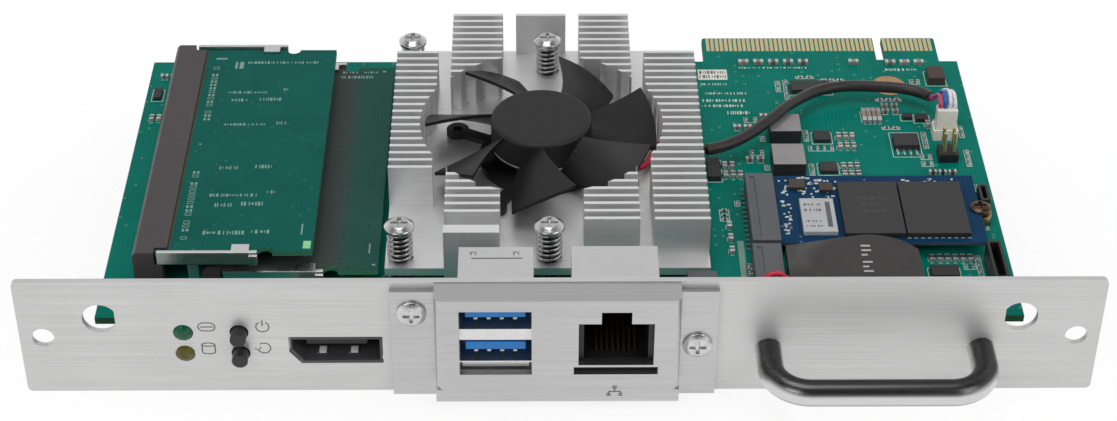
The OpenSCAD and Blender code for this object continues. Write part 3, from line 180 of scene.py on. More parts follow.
class Shader:
    """Builder of one node tree."""

    def __init__(self, tree: bpy.types.NodeTree) -> None:
        """Start from an empty tree."""
        self.tree = tree
        tree.nodes.clear()

    def node(self, kind: str, settings: dict | None = None, values: dict | None = None,
             out: int | str = 0) -> Wire:
        """Add any node.

        Args:
            kind: Type name of the node.
            settings: Properties of the node, which are set first.
            values: Numbers, colours or wires for its input sockets.
            out: Output socket that is wanted.

        Returns:
            The output as a wire, or the last input's wire for a node without outputs.
        """
        made = self.tree.nodes.new(kind)
        for key, value in (settings or {}).items():
            setattr(made, key, value)
        for key, value in (values or {}).items():
            if isinstance(value, Wire):
                self.tree.links.new(value.socket, made.inputs[key])
            else:
                made.inputs[key].default_value = value
        return Wire(self, made.outputs[out] if made.outputs else made.inputs[0])

    def point(self, scale: Point = (1, 1, 1), shift: Point = (0, 0, 0)) -> Wire:
        """Object coordinates in metres, scaled and then shifted."""
        where = self.node("ShaderNodeTexCoord", out="Object")
        return self.node("ShaderNodeMapping", {}, {"Vector": where, "Scale": scale, "Location": shift})

    def noise(self, where: Wire, scale: float, detail: float = 2.0, rough: float = 0.5) -> Wire:
        """Soft noise from 0 to 1."""
        return self.node("ShaderNodeTexNoise", {}, {"Vector": where, "Scale": scale, "Detail": detail,
                                                    "Roughness": rough})

    def dice(self, where: Wire, size: Point) -> Wire:
        """One random value for each rectangle of a grid over X and Y."""
        cell = self.node("ShaderNodeVectorMath", {"operation": "SNAP"}, {0: where, 1: size})
        return self.node("ShaderNodeTexWhiteNoise", {"noise_dimensions": "2D"}, {"Vector": cell},
                         out="Value")

    def axes(self, where: Wire) -> tuple[Wire, Wire, Wire]:
        """The three coordinates of a point."""
        return tuple(self.node("ShaderNodeSeparateXYZ", {}, {0: where}, out=k) for k in range(3))

    def span(self, value: Wire, low: float, high: float, to: Pair = (0.0, 1.0)) -> Wire:
        """Stretch a range of a value onto another, and hold it there."""
        return self.node("ShaderNodeMapRange", {"clamp": True},
                         {0: value, 1: low, 2: high, 3: to[0], 4: to[1]})

    def even(self, noise: Wire, to: Pair = (0.0, 1.0)) -> Wire:
        """Stretch the middle of a soft noise, where most of it lies, onto a range."""
        return self.span(noise, 0.3, 0.7, to)

    def ray(self, kind: str) -> Wire:
        """One where a ray of this kind arrives."""
        return self.node("ShaderNodeLightPath", out=f"Is {kind} Ray")

    def mix(self, factor: Wire | float, first: Wire | Color, second: Wire | Color) -> Wire:
        """Mix two colours."""
        first, second = (c if isinstance(c, Wire) else (*c, 1.0) for c in (first, second))
        return self.node("ShaderNodeMix", {"data_type": "RGBA"}, {0: factor, 6: first, 7: second}, out=2)

    def tinted(self, mark: Wire, tone: Color, contrast: float) -> Wire:
        """A colour that runs from a darker to a lighter tone with a mark from 0 to 1."""
        return self.mix(mark, shade(tone, 1 - contrast), shade(tone, 1 + contrast))

    def bump(self, height: Wire, depth: float, strength: float = 1.0) -> Wire:
        """Normal of a surface with small heights.

        Args:
            height: Height from 0 to 1.
            depth: Height of 1 in metres.
            strength: Share of the bump that shows.

        Returns:
            The normal.
        """
        return self.node("ShaderNodeBump", {}, {"Height": height, "Distance": depth, "Strength": strength})

    def facing(self, toward: Point = (0.0, 0.0, 1.0)) -> Wire:
        """How far the surface faces a direction, which is up by default, from -1 to 1."""
        normal = self.node("ShaderNodeNewGeometry", out="Normal")
        return self.node("ShaderNodeVectorMath", {"operation": "DOT_PRODUCT"}, {0: normal, 1: toward},
                         out="Value")

    def surface(self, **values: object) -> None:
        """Finish a material with a Principled surface; constants are set on its sockets.

        Args:
            values: Value or wire of each input, with _ for each space in its name.
        """
        named = {key.replace("_", " "): (*v, 1.0) if isinstance(v, tuple) else v
                 for key, v in values.items()}
        made = self.node("ShaderNodeBsdfPrincipled", {}, named)
        self.node("ShaderNodeOutputMaterial", {}, {0: made})


class Grain(Enum):
    """Direction of brushed lines, as noise scales per metre."""

    X = (30.0, 3200.0, 3200.0)
    Y = (3200.0, 30.0, 3200.0)
    NONE = (900.0, 900.0, 900.0)


@dataclass(frozen=True)
class Finish:
    """A finish of the module's surfaces, and the record's slot that it belongs to."""

    label: str
    slot: str
    tone: Color

    def material(self) -> bpy.types.Material:
        """The finish as a material, made once.

        Returns:
            The material.
        """
        found = bpy.data.materials.get(self.label)
        if found is None:
            found = bpy.data.materials.new(self.label)
            found.use_nodes = True
            self.paint(Shader(found.node_tree))
        return found

    def paint(self, s: Shader) -> None:
        """Fill the node tree."""
        raise NotImplementedError


@dataclass(frozen=True)
class Metal(Finish):
    """Brushed, plated or milled metal."""

    grain: Grain = Grain.NONE
    rough: float = 0.3
    contrast: float = 0.1
    depth: float = 0.000012
    metal: float = 1.0
    marks: float = 45.0
    line_share: float = 0.75
    spread: Pair = (0.07, 0.05)
    glossiest: float = 0.04

    def paint(self, s: Shader) -> None:
        """Fine lines, broad handling marks and a matching gloss.

        Args:
            s: Node tree of the material.
        """
        lines = s.noise(s.point(self.grain.value), 1.0, 3.0, 0.6)
        broad = s.noise(s.point(), self.marks)
        both = lines * self.line_share + broad * (1 - self.line_share)
        tone = s.tinted(s.even(both), self.tone, self.contrast)
        duller, glossier = self.spread
        gloss = (self.rough + duller, max(self.rough - glossier, self.glossiest))
        rough = s.span(lines, 0.25, 0.75, gloss)
        s.surface(Base_Color=tone, Roughness=rough, Metallic=self.metal,
                  Normal=s.bump(lines, self.depth, 0.5))


@dataclass(frozen=True)
class Polished(Metal):
    """Polished rod or wire with a painted reflection: darker on the side that faces a dark room, and a thin
    painted dark rim on the other.
    """

    # Direction, dark tone and reach of the painted reflection, and the band and tone of the painted dark
    # rim.
    toward: Point = (0.0, 0.0, 1.0)
    dark: float = 0.1
    reach: Pair = (0.3, 0.7)
    rim: tuple[float, float, float] = (-0.66, -0.48, -0.3)
    rim_reflection_share: float = 0.7
    rim_reflection_dark: float = 0.2
    line_dark: float = 0.5
    haze: float = 0.05

    def paint(self, s: Shader) -> None:
        """Faint lines along the rod, and a painted reflection: a tone that falls where the surface faces the
        dark side, and a painted dark rim.

        Args:
            s: Node tree of the material.
        """
        lines = s.noise(s.point(self.grain.value), 1.0)
        # Painted reflection: darker where the surface faces the dark side, with a painted dark rim in a band
        # on the other side.
        side = s.facing(self.toward)
        low, middle, high = self.rim
        rim = s.span(side, low, middle) * s.span(side, high, middle)
        tone = s.mix(s.span(side, *self.reach), self.tone, shade(self.tone, self.dark))
        tone = s.mix(rim * self.rim_reflection_share, tone, shade(self.tone, self.rim_reflection_dark))
        tone = s.mix(s.even(lines, (0.0, self.contrast)), tone, shade(self.tone, self.line_dark))
        s.surface(Base_Color=tone, Roughness=s.even(lines, (self.rough, self.rough + self.haze)),
                  Metallic=self.metal)


@dataclass(frozen=True)
class Plastic(Finish):
    """Moulded plastic with a fine grain."""

    rough: float = 0.45
    grain: float = 2600.0
    contrast: float = 0.12
    depth: float = 0.00002
    gloss: float = 0.5
    cloud_scale: float = 120.0
    cloud_share: float = 0.6
    spread: Pair = (0.05, 0.08)

    def paint(self, s: Shader) -> None:
        """Cloudy colour, fine grain and slightly uneven gloss.

        Args:
            s: Node tree of the material.
        """
        fine = s.noise(s.point(), self.grain)
        cloud = s.noise(s.point(), self.cloud_scale, 3.0)
        both = cloud * self.cloud_share + fine * (1 - self.cloud_share)
        tone = s.tinted(s.even(both), self.tone, self.contrast)
        glossier, duller = self.spread
        s.surface(Base_Color=tone, Roughness=s.even(cloud, (self.rough - glossier, self.rough + duller)),
                  Specular_IOR_Level=self.gloss, Normal=s.bump(fine, self.depth))


@dataclass(frozen=True)
class Laminate(Finish):
    """Circuit board: solder mask over laminate and copper, with traces, vias and a bare edge."""

    copper: Color = (0.0, 0.0, 0.0)
    edge: Color = (0.0, 0.0, 0.0)
    via: Color = (0.3, 0.4, 0.25)
    via_share: float = 0.5
    rough: float = 0.32
    # Colour, place along X and shares of a band mixed into the mask.
    band: Color | None = None
    band_reach: Pair = (0.0, 1.0)
    patch: Point = (0.0062, 0.0047, 1.0)
    pitch: float = 0.0004
    trace: float = 0.00013
    via_scale: float = 620.0
    via_r: float = 0.16
    via_scatter: float = 0.85
    hole_r: float = 0.07
    hole_dark: float = 0.35
    run_shares: Pair = (0.36, 0.64)
    flood_scale: float = 70.0
    flood_reach: Pair = (0.5, 0.56)
    flood: Pair = (0.0, 0.4)
    copper_share: float = 0.7
    cloud_scale: float = 240.0
    cloud_share: float = 0.12
    cloud_dark: float = 0.7
    band_shares: Pair = (0.85, 0.25)
    level: float = 0.5
    gloss: float = 0.06
    bare_rough: float = 0.55
    relief: Pair = (0.5, 0.4)
    depth: float = 0.00003

    def paint(self, s: Shader) -> None:
        """Traces run along X or Y in patches, vias stand between them, and the sides show bare laminate.

        Args:
            s: Node tree of the material.
        """
        where = s.point()
        x, y, _ = s.axes(where)
        patch = s.dice(where, self.patch)
        below, above = self.run_shares
        along_x = (patch < below) * (y.math("PINGPONG", y, self.pitch) < self.trace)
        along_y = (patch > above) * (x.math("PINGPONG", x, self.pitch) < self.trace)
        flood = s.span(s.noise(where, self.flood_scale, 1.0), *self.flood_reach, self.flood)
        raised = s.span(along_x + along_y + flood, 0.0, 1.0)
        dots = {"voronoi_dimensions": "2D"}
        spread = {"Vector": where, "Scale": self.via_scale, "Randomness": self.via_scatter}
        cell = s.node("ShaderNodeTexVoronoi", dots, spread)
        chosen = s.axes(s.node("ShaderNodeTexVoronoi", dots, spread, out="Color"))[0] < self.via_share
        via = (cell < self.via_r) * chosen
        hole = (cell < self.hole_r) * chosen
        mask = s.mix(raised * self.copper_share, self.tone, self.copper)
        cloud = s.even(s.noise(where, self.cloud_scale, 3.0), (0.0, self.cloud_share))
        mask = s.mix(cloud, mask, shade(self.tone, self.cloud_dark))
        # Mix a band of another colour into the mask between two places along X.
        if self.band:
            mask = s.mix(s.span(x, *self.band_reach, self.band_shares), mask, self.band)
        mask = s.mix(hole, s.mix(via, mask, self.via), shade(self.tone, self.hole_dark))
        side = (s.facing() < self.level) * (s.facing() > -self.level)
        of_trace, of_via = self.relief
        s.surface(Base_Color=s.mix(side, mask, self.edge), Specular_IOR_Level=self.gloss,
                  Roughness=s.span(via + side, 0.0, 1.0, (self.rough, self.bare_rough)),
                  Normal=s.bump(raised * of_trace + via * of_via, self.depth, 0.5))


@dataclass(frozen=True)
class Ceramic(Finish):
    """Moulded or fired body of a small part."""

    rough: float = 0.5
    speck: float = 5200.0
    contrast: float = 0.18
    cloud_scale: float = 300.0
    sand_share: float = 0.5
    reach: Pair = (0.32, 0.68)
    spread: Pair = (0.06, 0.1)
    depth: float = 0.000012

    def paint(self, s: Shader) -> None:
        """Sandy specks on a dull body.

        Args:
            s: Node tree of the material.
        """
        sand = s.noise(s.point(), self.speck, 2.0, 0.7)
        cloud = s.noise(s.point(), self.cloud_scale)
        both = sand * self.sand_share + cloud * (1 - self.sand_share)
        tone = s.tinted(s.span(both, *self.reach), self.tone, self.contrast)
        glossier, duller = self.spread
        s.surface(Base_Color=tone, Roughness=s.even(cloud, (self.rough - glossier, self.rough + duller)),
                  Normal=s.bump(sand, self.depth))


@dataclass(frozen=True)
class Terminated(Finish):
    """Small ceramic part with two tinned ends, by the attributes that Bench.mark_ends writes."""

    second: Color = (0.0, 0.0, 0.0)
    tin: Color = (0.66, 0.66, 0.66)
    reach: float = 0.42
    speck: float = 5200.0
    tint_reach: Pair = (0.3, 0.6)
    sand_share: float = 0.35
    sand_dark: float = 0.6
    rough: Pair = (0.5, 0.36)
    metal: float = 0.8
    depth: float = 0.00001

    def paint(self, s: Shader) -> None:
        """A sandy body of one of two tones, and bright ends.

        Args:
            s: Node tree of the material.
        """
        along, tint = (s.node("ShaderNodeAttribute", {"attribute_name": name}, out="Fac")
                       for name in ("along", "tint"))
        end = along.math("ABSOLUTE", along, 0.0) > self.reach
        sand = s.noise(s.point(), self.speck, 2.0, 0.7)
        body = s.mix(s.span(tint, *self.tint_reach), self.tone, self.second)
        body = s.mix(s.even(sand, (0.0, self.sand_share)), body, shade(self.second, self.sand_dark))
        s.surface(Base_Color=s.mix(end, body, self.tin), Roughness=s.span(end, 0.0, 1.0, self.rough),
                  Metallic=end * self.metal, Normal=s.bump(sand, self.depth))


@dataclass(frozen=True)
class Lens(Finish):
    """Clear coloured plastic of a lamp."""

    glow: float = 0.25
    deep: float = 0.8
    reach: Pair = (0.35, 0.65)
    cloud_scale: float = 700.0
    rough: float = 0.2
    gloss: float = 0.35
    depth: float = 0.00001

    def paint(self, s: Shader) -> None:
        """A deep colour with a paler bloom inside and a wet gloss.

        Args:
            s: Node tree of the material.
        """
        cloud = s.noise(s.point(), self.cloud_scale, 1.0)
        deep, pale = shade(self.tone, self.deep), shade(self.tone, 1 + self.glow)
        s.surface(Base_Color=s.mix(s.span(cloud, *self.reach), deep, pale), Roughness=self.rough,
                  Specular_IOR_Level=self.gloss, Normal=s.bump(cloud, self.depth, 0.3))


@dataclass(frozen=True)
class Sleeve(Finish):
    """Soft sleeve or wire skin with fine cross ribs of the material."""

    rough: float = 0.5
    rib: float = 900.0
    tones: Pair = (0.75, 1.3)
    spread: float = 0.1
    depth: float = 0.00005

    def paint(self, s: Shader) -> None:
        """Dull and bright flecks with a light wrinkle.

        Args:
            s: Node tree of the material.
        """
        fleck = s.noise(s.point(), self.rib, 3.0, 0.6)
        dull, bright = (shade(self.tone, by) for by in self.tones)
        gloss = (self.rough - self.spread, self.rough + self.spread)
        s.surface(Base_Color=s.mix(s.even(fleck), dull, bright), Roughness=s.even(fleck, gloss),
                  Normal=s.bump(fleck, self.depth, 0.5))


class Look(Enum):
    """The finishes of the module."""

    PLATE = Metal("plate_brushed", "plate_steel", (0.63, 0.63, 0.625), Grain.X, 0.4, 0.11, metal=0.6)
    BRACKET = Metal("bracket_brushed", "bracket_steel", (0.54, 0.54, 0.54), Grain.X, 0.34, 0.09)
    ANGLE = Metal("angle_plated", "angle_steel", (0.5, 0.5, 0.51), rough=0.32)
    SCREW = Metal("screw_nickel", "screw_steel", (0.62, 0.62, 0.62), Grain.NONE, 0.24, 0.15)
    # Handle: painted reflection, dark on its upper side, with a painted dark rim underneath.
    HANDLE = Polished("handle_polished_painted_reflection", "handle_metal", (0.66, 0.66, 0.66), Grain.X, 0.26)
    SHELL = Metal("port_plated", "port_steel", (0.74, 0.74, 0.74), Grain.NONE, 0.34, 0.06)
    SINK = Metal("sink_milled", "sink_aluminium", (0.84, 0.84, 0.84), Grain.X, 0.4, 0.08, metal=0.8)
    # Springs: painted reflection, darker where the wire faces the front; the rim band lies out of reach, so
    # there is no rim.
    SPRING = Polished("spring_wire_painted_reflection", "spring_steel", (0.62, 0.62, 0.62), rough=0.26, toward=(0.0, -1.0, 0.0),
                      dark=0.3, reach=(0.7, 0.95), rim=(-3.0, -2.5, -2.0))
    # Painted shade: the screw shanks inside the springs are painted near black.
    SHANK_PAINTED_SHADE = Metal("screw_shank_painted_shade", "screw_steel", (0.05, 0.04, 0.04), Grain.NONE, 0.5, 0.2)
    BACK = Metal("back_plated", "back_steel", (0.45, 0.45, 0.46), Grain.X, 0.35)
    GOLD = Metal("contact_gold", "gold", (0.78, 0.64, 0.36), Grain.Y, 0.4, 0.12)
    DULL_GOLD = Metal("contact_dull", "gold", (0.3, 0.2, 0.08), Grain.Y, 0.3, 0.12)
    FINGER = Metal("contact_shaded", "gold", (0.16, 0.1, 0.05), Grain.Y, 0.4, 0.15)
    BRASS = Metal("turned_brass", "standoff_brass", (0.3, 0.21, 0.1))
    COPPER = Metal("drive_bronze", "screw_copper", (0.1, 0.065, 0.045))
    COIL = Metal("coil_wire", "coil_copper", (0.5, 0.22, 0.1), Grain.X, 0.3, 0.3)
    BEARING = Metal("bearing_turned", "bearing_brass", (0.55, 0.4, 0.2))
    TIN = Metal("tinned_end", "capacitor_tan", (0.68, 0.68, 0.68))
    BOARD = Laminate("board_mask", "board_green", srgb(0, 112, 98), srgb(0, 128, 112), srgb(52, 92, 66),
                     srgb(110, 156, 136), 0.1)
    MEMORY = Laminate("memory_mask", "memory_green", srgb(10, 86, 78), srgb(16, 98, 86), srgb(60, 120, 92),
                      srgb(60, 116, 98), 0.06, 0.42)
    # Grey band along X beside the edge of the upper board.
    LOW_MEMORY = Laminate("low_memory_mask", "memory_green", srgb(16, 82, 70), srgb(24, 92, 78),
                          srgb(70, 134, 104), srgb(40, 70, 62), 0.1, 0.42, srgb(66, 66, 66),
                          (-0.0435, -0.0405))
    DRIVE = Laminate("drive_mask", "drive_blue", srgb(14, 52, 84), srgb(20, 66, 100), srgb(60, 80, 90),
                     srgb(110, 130, 150), 0.12)
    BLACK = Plastic("black_moulded", "black_plastic", srgb(30, 30, 31), 0.4)
    SOCKET = Plastic("socket_moulded", "dark_socket", srgb(64, 58, 59), 0.46)
    CARD_SOCKET = Plastic("card_socket_moulded", "dark_socket", srgb(84, 86, 90), 0.44)
    PORT_GREY = Plastic("port_grey_moulded", "port_grey", srgb(70, 70, 72), 0.4)
    # Painted highlight: the metal spring tips are painted as pale plastic.
    TAB = Plastic("spring_tab_painted_highlight", "port_grey", srgb(236, 236, 236), 0.4)
    BLUE = Plastic("tongue_blue", "blue_plastic", srgb(10, 122, 200), 0.35)
    FAN = Plastic("fan_moulded", "fan_plastic", srgb(32, 30, 31), 0.46, 1800.0, 0.1, 0.000025, 0.3)
    PLUG = Plastic("plug_moulded", "plug_white", srgb(226, 224, 214), 0.42)
    PAD = Plastic("pad_foam", "pad_grey", srgb(90, 90, 92), 0.85, 1600.0, 0.25, 0.0002)
    GREEN_LENS = Lens("lens_green", "green_lens", srgb(2, 84, 50))
    AMBER_LENS = Lens("lens_amber", "amber_lens", srgb(86, 82, 22))
    CHIP = Ceramic("chip_epoxy", "chip_black", srgb(44, 42, 44))
    PALE_CHIP = Ceramic("chip_lidded", "chip_black", srgb(176, 178, 180), 0.4, 3000.0, 0.08)
    BROWN_CHIP = Ceramic("chip_brown", "chip_black", srgb(62, 50, 44))
    SUBSTRATE = Ceramic("processor_substrate", "processor_slot", srgb(30, 84, 60), 0.4)
    INDUCTOR = Ceramic("inductor_body", "inductor_grey", srgb(142, 140, 140), 0.55)
    INDUCTOR_SIDE = Ceramic("inductor_side", "inductor_grey", srgb(38, 38, 40), 0.6)
    CAPACITOR = Terminated("capacitor_body", "capacitor_tan", srgb(150, 138, 128), srgb(100, 90, 82))
    DARK_CAPACITOR = Terminated("capacitor_dark", "capacitor_tan", srgb(40, 36, 36), srgb(70, 54, 46))
    RESISTOR = Terminated("resistor_body", "chip_black", srgb(36, 35, 36), srgb(120, 108, 100))
    LEAD = Sleeve("lead_sleeve", "sleeve_black", srgb(40, 34, 33), 0.42)
    RED_WIRE = Sleeve("wire_red", "wire_skin", srgb(190, 28, 56), 0.4)
    PINK_WIRE = Sleeve("wire_pink", "wire_skin", srgb(196, 60, 110), 0.4)
    BLUE_WIRE = Sleeve("wire_blue", "wire_skin", srgb(40, 84, 170), 0.4)
    BLACK_WIRE = Sleeve("wire_black", "wire_skin", srgb(28, 27, 28), 0.4)
    WHITE_WIRE = Sleeve("wire_white", "wire_skin", srgb(214, 216, 218), 0.4)
    BATTERY = Sleeve("battery_shrink", "battery_sleeve", srgb(44, 40, 39), 0.4, 400.0)
    INK = Plastic("panel_ink", "plate_steel", srgb(92, 92, 94), 0.6)
    PRINT = Plastic("board_print", "board_green", srgb(196, 206, 198), 0.6)
    FAINT_PRINT = Plastic("board_print_faint", "memory_green", srgb(122, 154, 142), 0.6)
    GREY_PRINT = Plastic("chip_print", "chip_black", srgb(92, 92, 94), 0.6)
    FAINT_CHIP_PRINT = Plastic("chip_print_faint", "chip_black", srgb(66, 65, 66), 0.6)
    BATTERY_PRINT = Plastic("battery_print", "battery_sleeve", srgb(176, 176, 178), 0.6)
    SEAM = Metal("seam_shadow", "port_steel", (0.16, 0.16, 0.16), rough=0.5)
    PALE_PAD = Plastic("pale_pad", "memory_green", srgb(140, 208, 148), 0.5)
    COPPER_PAD = Metal("pad_copper", "gold", (0.6, 0.34, 0.18), rough=0.36)

    @property
    def material(self) -> bpy.types.Material:
        """The member's material."""
        return self.value.material()


class Bench:
    """Modelling steps by operator, each on the pieces that it is given."""

    @staticmethod
    def hold(*pieces: Piece) -> None:
        """Select these pieces alone, with the first as the active one.

        Args:
            pieces: The pieces to select.
        """
        bpy.ops.object.select_all(action="DESELECT")
        for piece in pieces:
            piece.select_set(True)
        bpy.context.view_layer.objects.active = pieces[0]

    @staticmethod
    def settle(piece: Piece, name: str) -> Piece:
        """Name a piece and put its place and turn into its mesh.

        Args:
            piece: A new piece.
            name: Its name.

        Returns:
            The piece, which then sits at the origin.
        """
        Bench.hold(piece)
        bpy.ops.object.transform_apply(location=True, rotation=True, scale=True)
        piece.name = piece.data.name = name
        return piece

    @staticmethod
    def block(name: str, low: Point, high: Point) -> Piece:
        """Add a block between two corners in millimetres.

        Args:
            name: Name of the block.
            low: Lowest corner.
            high: Highest corner.

        Returns:
            The block.
        """
        low, high = Vector(low) * MM, Vector(high) * MM
        bpy.ops.object.select_all(action="DESELECT")
        bpy.ops.mesh.primitive_cube_add(size=1, location=(low + high) / 2)
        bpy.context.object.scale = high - low
        return Bench.settle(bpy.context.object, name)

    @staticmethod
    def edit(piece: Piece, rule: Rule, *steps: Callable[[], object]) -> Piece:
        """Run edit-mode steps on the faces that a rule picks.

        Args:
            piece: The piece to shape.
            rule: Takes a face's middle in millimetres and its normal.
            steps: Operators to run in edit mode.

        Returns:
            The piece.
        """
        Bench.hold(piece)
        bpy.ops.object.mode_set(mode="EDIT")
        bpy.ops.mesh.select_all(action="DESELECT")
        bpy.ops.mesh.select_mode(type="FACE")
        bpy.ops.object.mode_set(mode="OBJECT")
        for face in piece.data.polygons:
            face.select = rule(face.center / MM, face.normal)
        bpy.ops.object.mode_set(mode="EDIT")
        for step in steps:
            step()
        bpy.ops.object.mode_set(mode="OBJECT")
        return piece

    @staticmethod
    def apply(piece: Piece, kind: str, **settings: object) -> Piece:
        """Add a modifier with its settings and apply it.

        Args:
            piece: The piece to shape.
            kind: Type of the modifier.
            settings: Its settings by name.

        Returns:
            The piece.
        """
        Bench.hold(piece)
        added = piece.modifiers.new(kind.lower(), kind)
        for key, value in settings.items():
            setattr(added, key, value)
        bpy.ops.object.modifier_apply(modifier=added.name)
        return piece

    @staticmethod
    def round_off(piece: Piece, width: float, segments: int = 2, angle: float = 32.0) -> Piece:
        """Round the sharp edges, and shade the piece.

        Args:
            piece: The piece to round.
            width: Width of the rounding in millimetres.
            segments: Steps of the rounding.
            angle: Angle in degrees from which an edge is sharp.

        Returns:
            The piece.
        """
        if width:
            Bench.apply(piece, "BEVEL", width=width * MM, segments=segments, limit_method="ANGLE",
                        angle_limit=math.radians(angle), miter_outer="MITER_ARC", use_clamp_overlap=True)
        Bench.hold(piece)
        bpy.ops.object.shade_smooth_by_angle(angle=math.radians(angle + SMOOTH_OVER))
        return Bench.apply(piece, "WEIGHTED_NORMAL", keep_sharp=True)

    @staticmethod
    def spread(first: Piece, name: str, spots: Sequence[tuple[Point, Matrix | None]]) -> Piece:
        """Copy a piece to its spots, each copy with its own mesh, and join the copies.

        Args:
            first: The modelled piece, which goes when the copies are made.
            name: Name of the joined piece.
            spots: Each copy's shift in millimetres, and the turn or stretch that it gets before.

        Returns:
            The copies as one piece.
        """
        copies = []
        for shift, turn in spots:
            twin = first.copy()
            twin.data = first.data.copy()
            bpy.context.scene.collection.objects.link(twin)
            twin.data.transform(Matrix.Translation(Vector(shift) * MM) @ (turn or Matrix.Identity(4)))
            copies.append(twin)
        bpy.data.objects.remove(first)
        return Bench.joined(name, copies)

    @staticmethod
    def joined(name: str, pieces: Sequence[Piece]) -> Piece:
        """Join pieces into one.

        Args:
            name: Name of the joined piece.
            pieces: The pieces.

        Returns:
            The first piece, which holds them all.
        """
        Bench.hold(*pieces)
        if len(pieces) > 1:
            bpy.ops.object.join()
        pieces[0].name = pieces[0].data.name = name
        return pieces[0]

    @staticmethod
    def strand(name: str, line: Sequence[Vector], diameter: float, sides: int = 3) -> Piece:
        """Add a curve of one open spline with a round section.

        Args:
            name: Name of the curve.
            line: Its points in metres.
            diameter: Diameter in millimetres.
            sides: Resolution of its round section.

        Returns:
            The curve's object.
        """
        curve = bpy.data.curves.new(name, "CURVE")
        curve.dimensions = "3D"
        curve.bevel_depth = diameter / 2 * MM
        curve.bevel_resolution = sides
        curve.use_fill_caps = True
        spline = curve.splines.new("POLY")
        spline.points.add(len(line) - 1)
        for knot, place in zip(spline.points, line):
            knot.co = (*place, 1.0)
        spline.use_smooth = True
        piece = bpy.data.objects.new(name, curve)
        bpy.context.scene.collection.objects.link(piece)
        return piece

    @staticmethod
    def tube(name: str, line: Sequence[Vector], diameter: float, sides: int = 3) -> Piece:
        """Add a mesh tube along a line.

        Args:
            name: Name of the tube.
            line: Its points in metres.
            diameter: Diameter in millimetres.
            sides: Resolution of its round section.

        Returns:
            The tube.
        """
        piece = Bench.strand(name, line, diameter, sides)
        Bench.hold(piece)
        bpy.ops.object.convert(target="MESH")
        bpy.context.object.name = bpy.context.object.data.name = name
        return bpy.context.object

    @staticmethod
    def ring(name: str, base: Point, outer: float, inner: float, thick: float, sides: int = 40) -> Piece:
        """Cut a ring out of a round face and thicken it upwards.

        Args:
            name: Name of the piece.
            base: Middle of its lower face in millimetres.
            outer: Outer radius in millimetres.
            inner: Inner radius in millimetres.
            thick: Thickness in millimetres.
            sides: Number of sides.

        Returns:
            The ring.
        """
        bpy.ops.object.select_all(action="DESELECT")
        bpy.ops.mesh.primitive_circle_add(vertices=sides, radius=outer * MM, fill_type="NGON",
                                          location=Vector(base) * MM)
        ring = Bench.settle(bpy.context.object, name)
        Bench.edit(ring, lambda c, n: True, lambda: bpy.ops.mesh.inset(thickness=(outer - inner) * MM))
        Bench.edit(ring, lambda c, n: (c - Vector(base)).length < inner / 2,
                   lambda: bpy.ops.mesh.delete(type="FACE"))
        return Bench.apply(ring, "SOLIDIFY", thickness=thick * MM, offset=1.0)

    @staticmethod
    def cast(node: str, name: str) -> Piece:
        """Copy a CAD node's mesh into a new piece with whole faces.

        Args:
            node: Name of the node.
            name: Name of the new piece.

        Returns:
            The new piece.
        """
        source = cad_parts[node]
        twin = bpy.data.objects.new(name, source.data.copy())
        bpy.context.scene.collection.objects.link(twin)
        twin.data.name = name
        Bench.hold(twin)
        bpy.ops.object.mode_set(mode="EDIT")
        bpy.ops.mesh.select_all(action="SELECT")
        bpy.ops.mesh.remove_doubles(threshold=SAME_PLACE)
        bpy.ops.mesh.dissolve_limited(angle_limit=math.radians(SAME_PLANE))
        bpy.ops.mesh.vert_connect_concave()
        bpy.ops.object.mode_set(mode="OBJECT")
        bpy.ops.mesh.customdata_custom_splitnormals_clear()
        return twin

    @staticmethod
    def islands(piece: Piece) -> list[list[int]]:
        """Vertex numbers of each part of a mesh that hangs together.

        Args:
            piece: The piece whose mesh is read.

        Returns:
            The vertex numbers of one part after another.
        """
        leader = list(range(len(piece.data.vertices)))

        def head(k: int) -> int:
            """Follow the leaders up to the first one.

            Args:
                k: Number of a vertex.

            Returns:
                Number of the vertex that leads its part.
            """
            while leader[k] != k:
                leader[k] = leader[leader[k]]
                k = leader[k]
            return k

        for edge in piece.data.edges:
            leader[head(edge.vertices[0])] = head(edge.vertices[1])
        groups: dict[int, list[int]] = {}
        for k in range(len(leader)):
            groups.setdefault(head(k), []).append(k)
        return list(groups.values())

    @staticmethod
    def parcels(piece: Piece) -> list[Corners]:
        """Lowest and highest corner of each separate part of a mesh, in millimetres."""
        places = [[piece.data.vertices[k].co for k in group] for group in Bench.islands(piece)]
        return [(Vector(map(min, zip(*own))) / MM, Vector(map(max, zip(*own))) / MM) for own in places]

    @staticmethod
    def mark_ends(piece: Piece, seed: int) -> None:
        """Write each vertex's place along its part, from -1 to 1, and one random tint for each part.

        Args:
            piece: The piece that gets the attributes along and tint.
            seed: Seed of the tints.
        """
        along = piece.data.attributes.new("along", "FLOAT", "POINT")
        tint = piece.data.attributes.new("tint", "FLOAT", "POINT")
        draw = random.Random(seed)
        for group, (low, high) in zip(Bench.islands(piece), Bench.parcels(piece)):
            size = high - low
            axis = 0 if size.x > size.y else 1
            value = draw.random()
            for k in group:
                place = piece.data.vertices[k].co[axis] / MM
                along.data[k].value = (2 * place - low[axis] - high[axis]) / size[axis]
                tint.data[k].value = value

    @staticmethod
    def strokes(name: str, lines: Sequence[Sequence[Pair]], depth: float, width: float,
                flat: float = 0.2) -> Piece:
        """Add flat lines on an upright face.

        Args:
            name: Name of the piece that they make.
            lines: Each line's points, across and up in millimetres.
            depth: Place of the face along Y in millimetres.
            width: Width of the lines in millimetres.
            flat: Their thickness as a share of their width.

        Returns:
            The lines as one piece.
        """
        press = Matrix.Translation((0, depth * MM, 0)) @ Matrix.Diagonal((1, flat, 1, 1))
        pieces = [Bench.tube(name, [Vector((x, 0, z)) * MM for x, z in line], width, sides=1)
                  for line in lines]
        for piece in pieces:
            piece.data.transform(press)
        return Bench.joined(name, pieces)


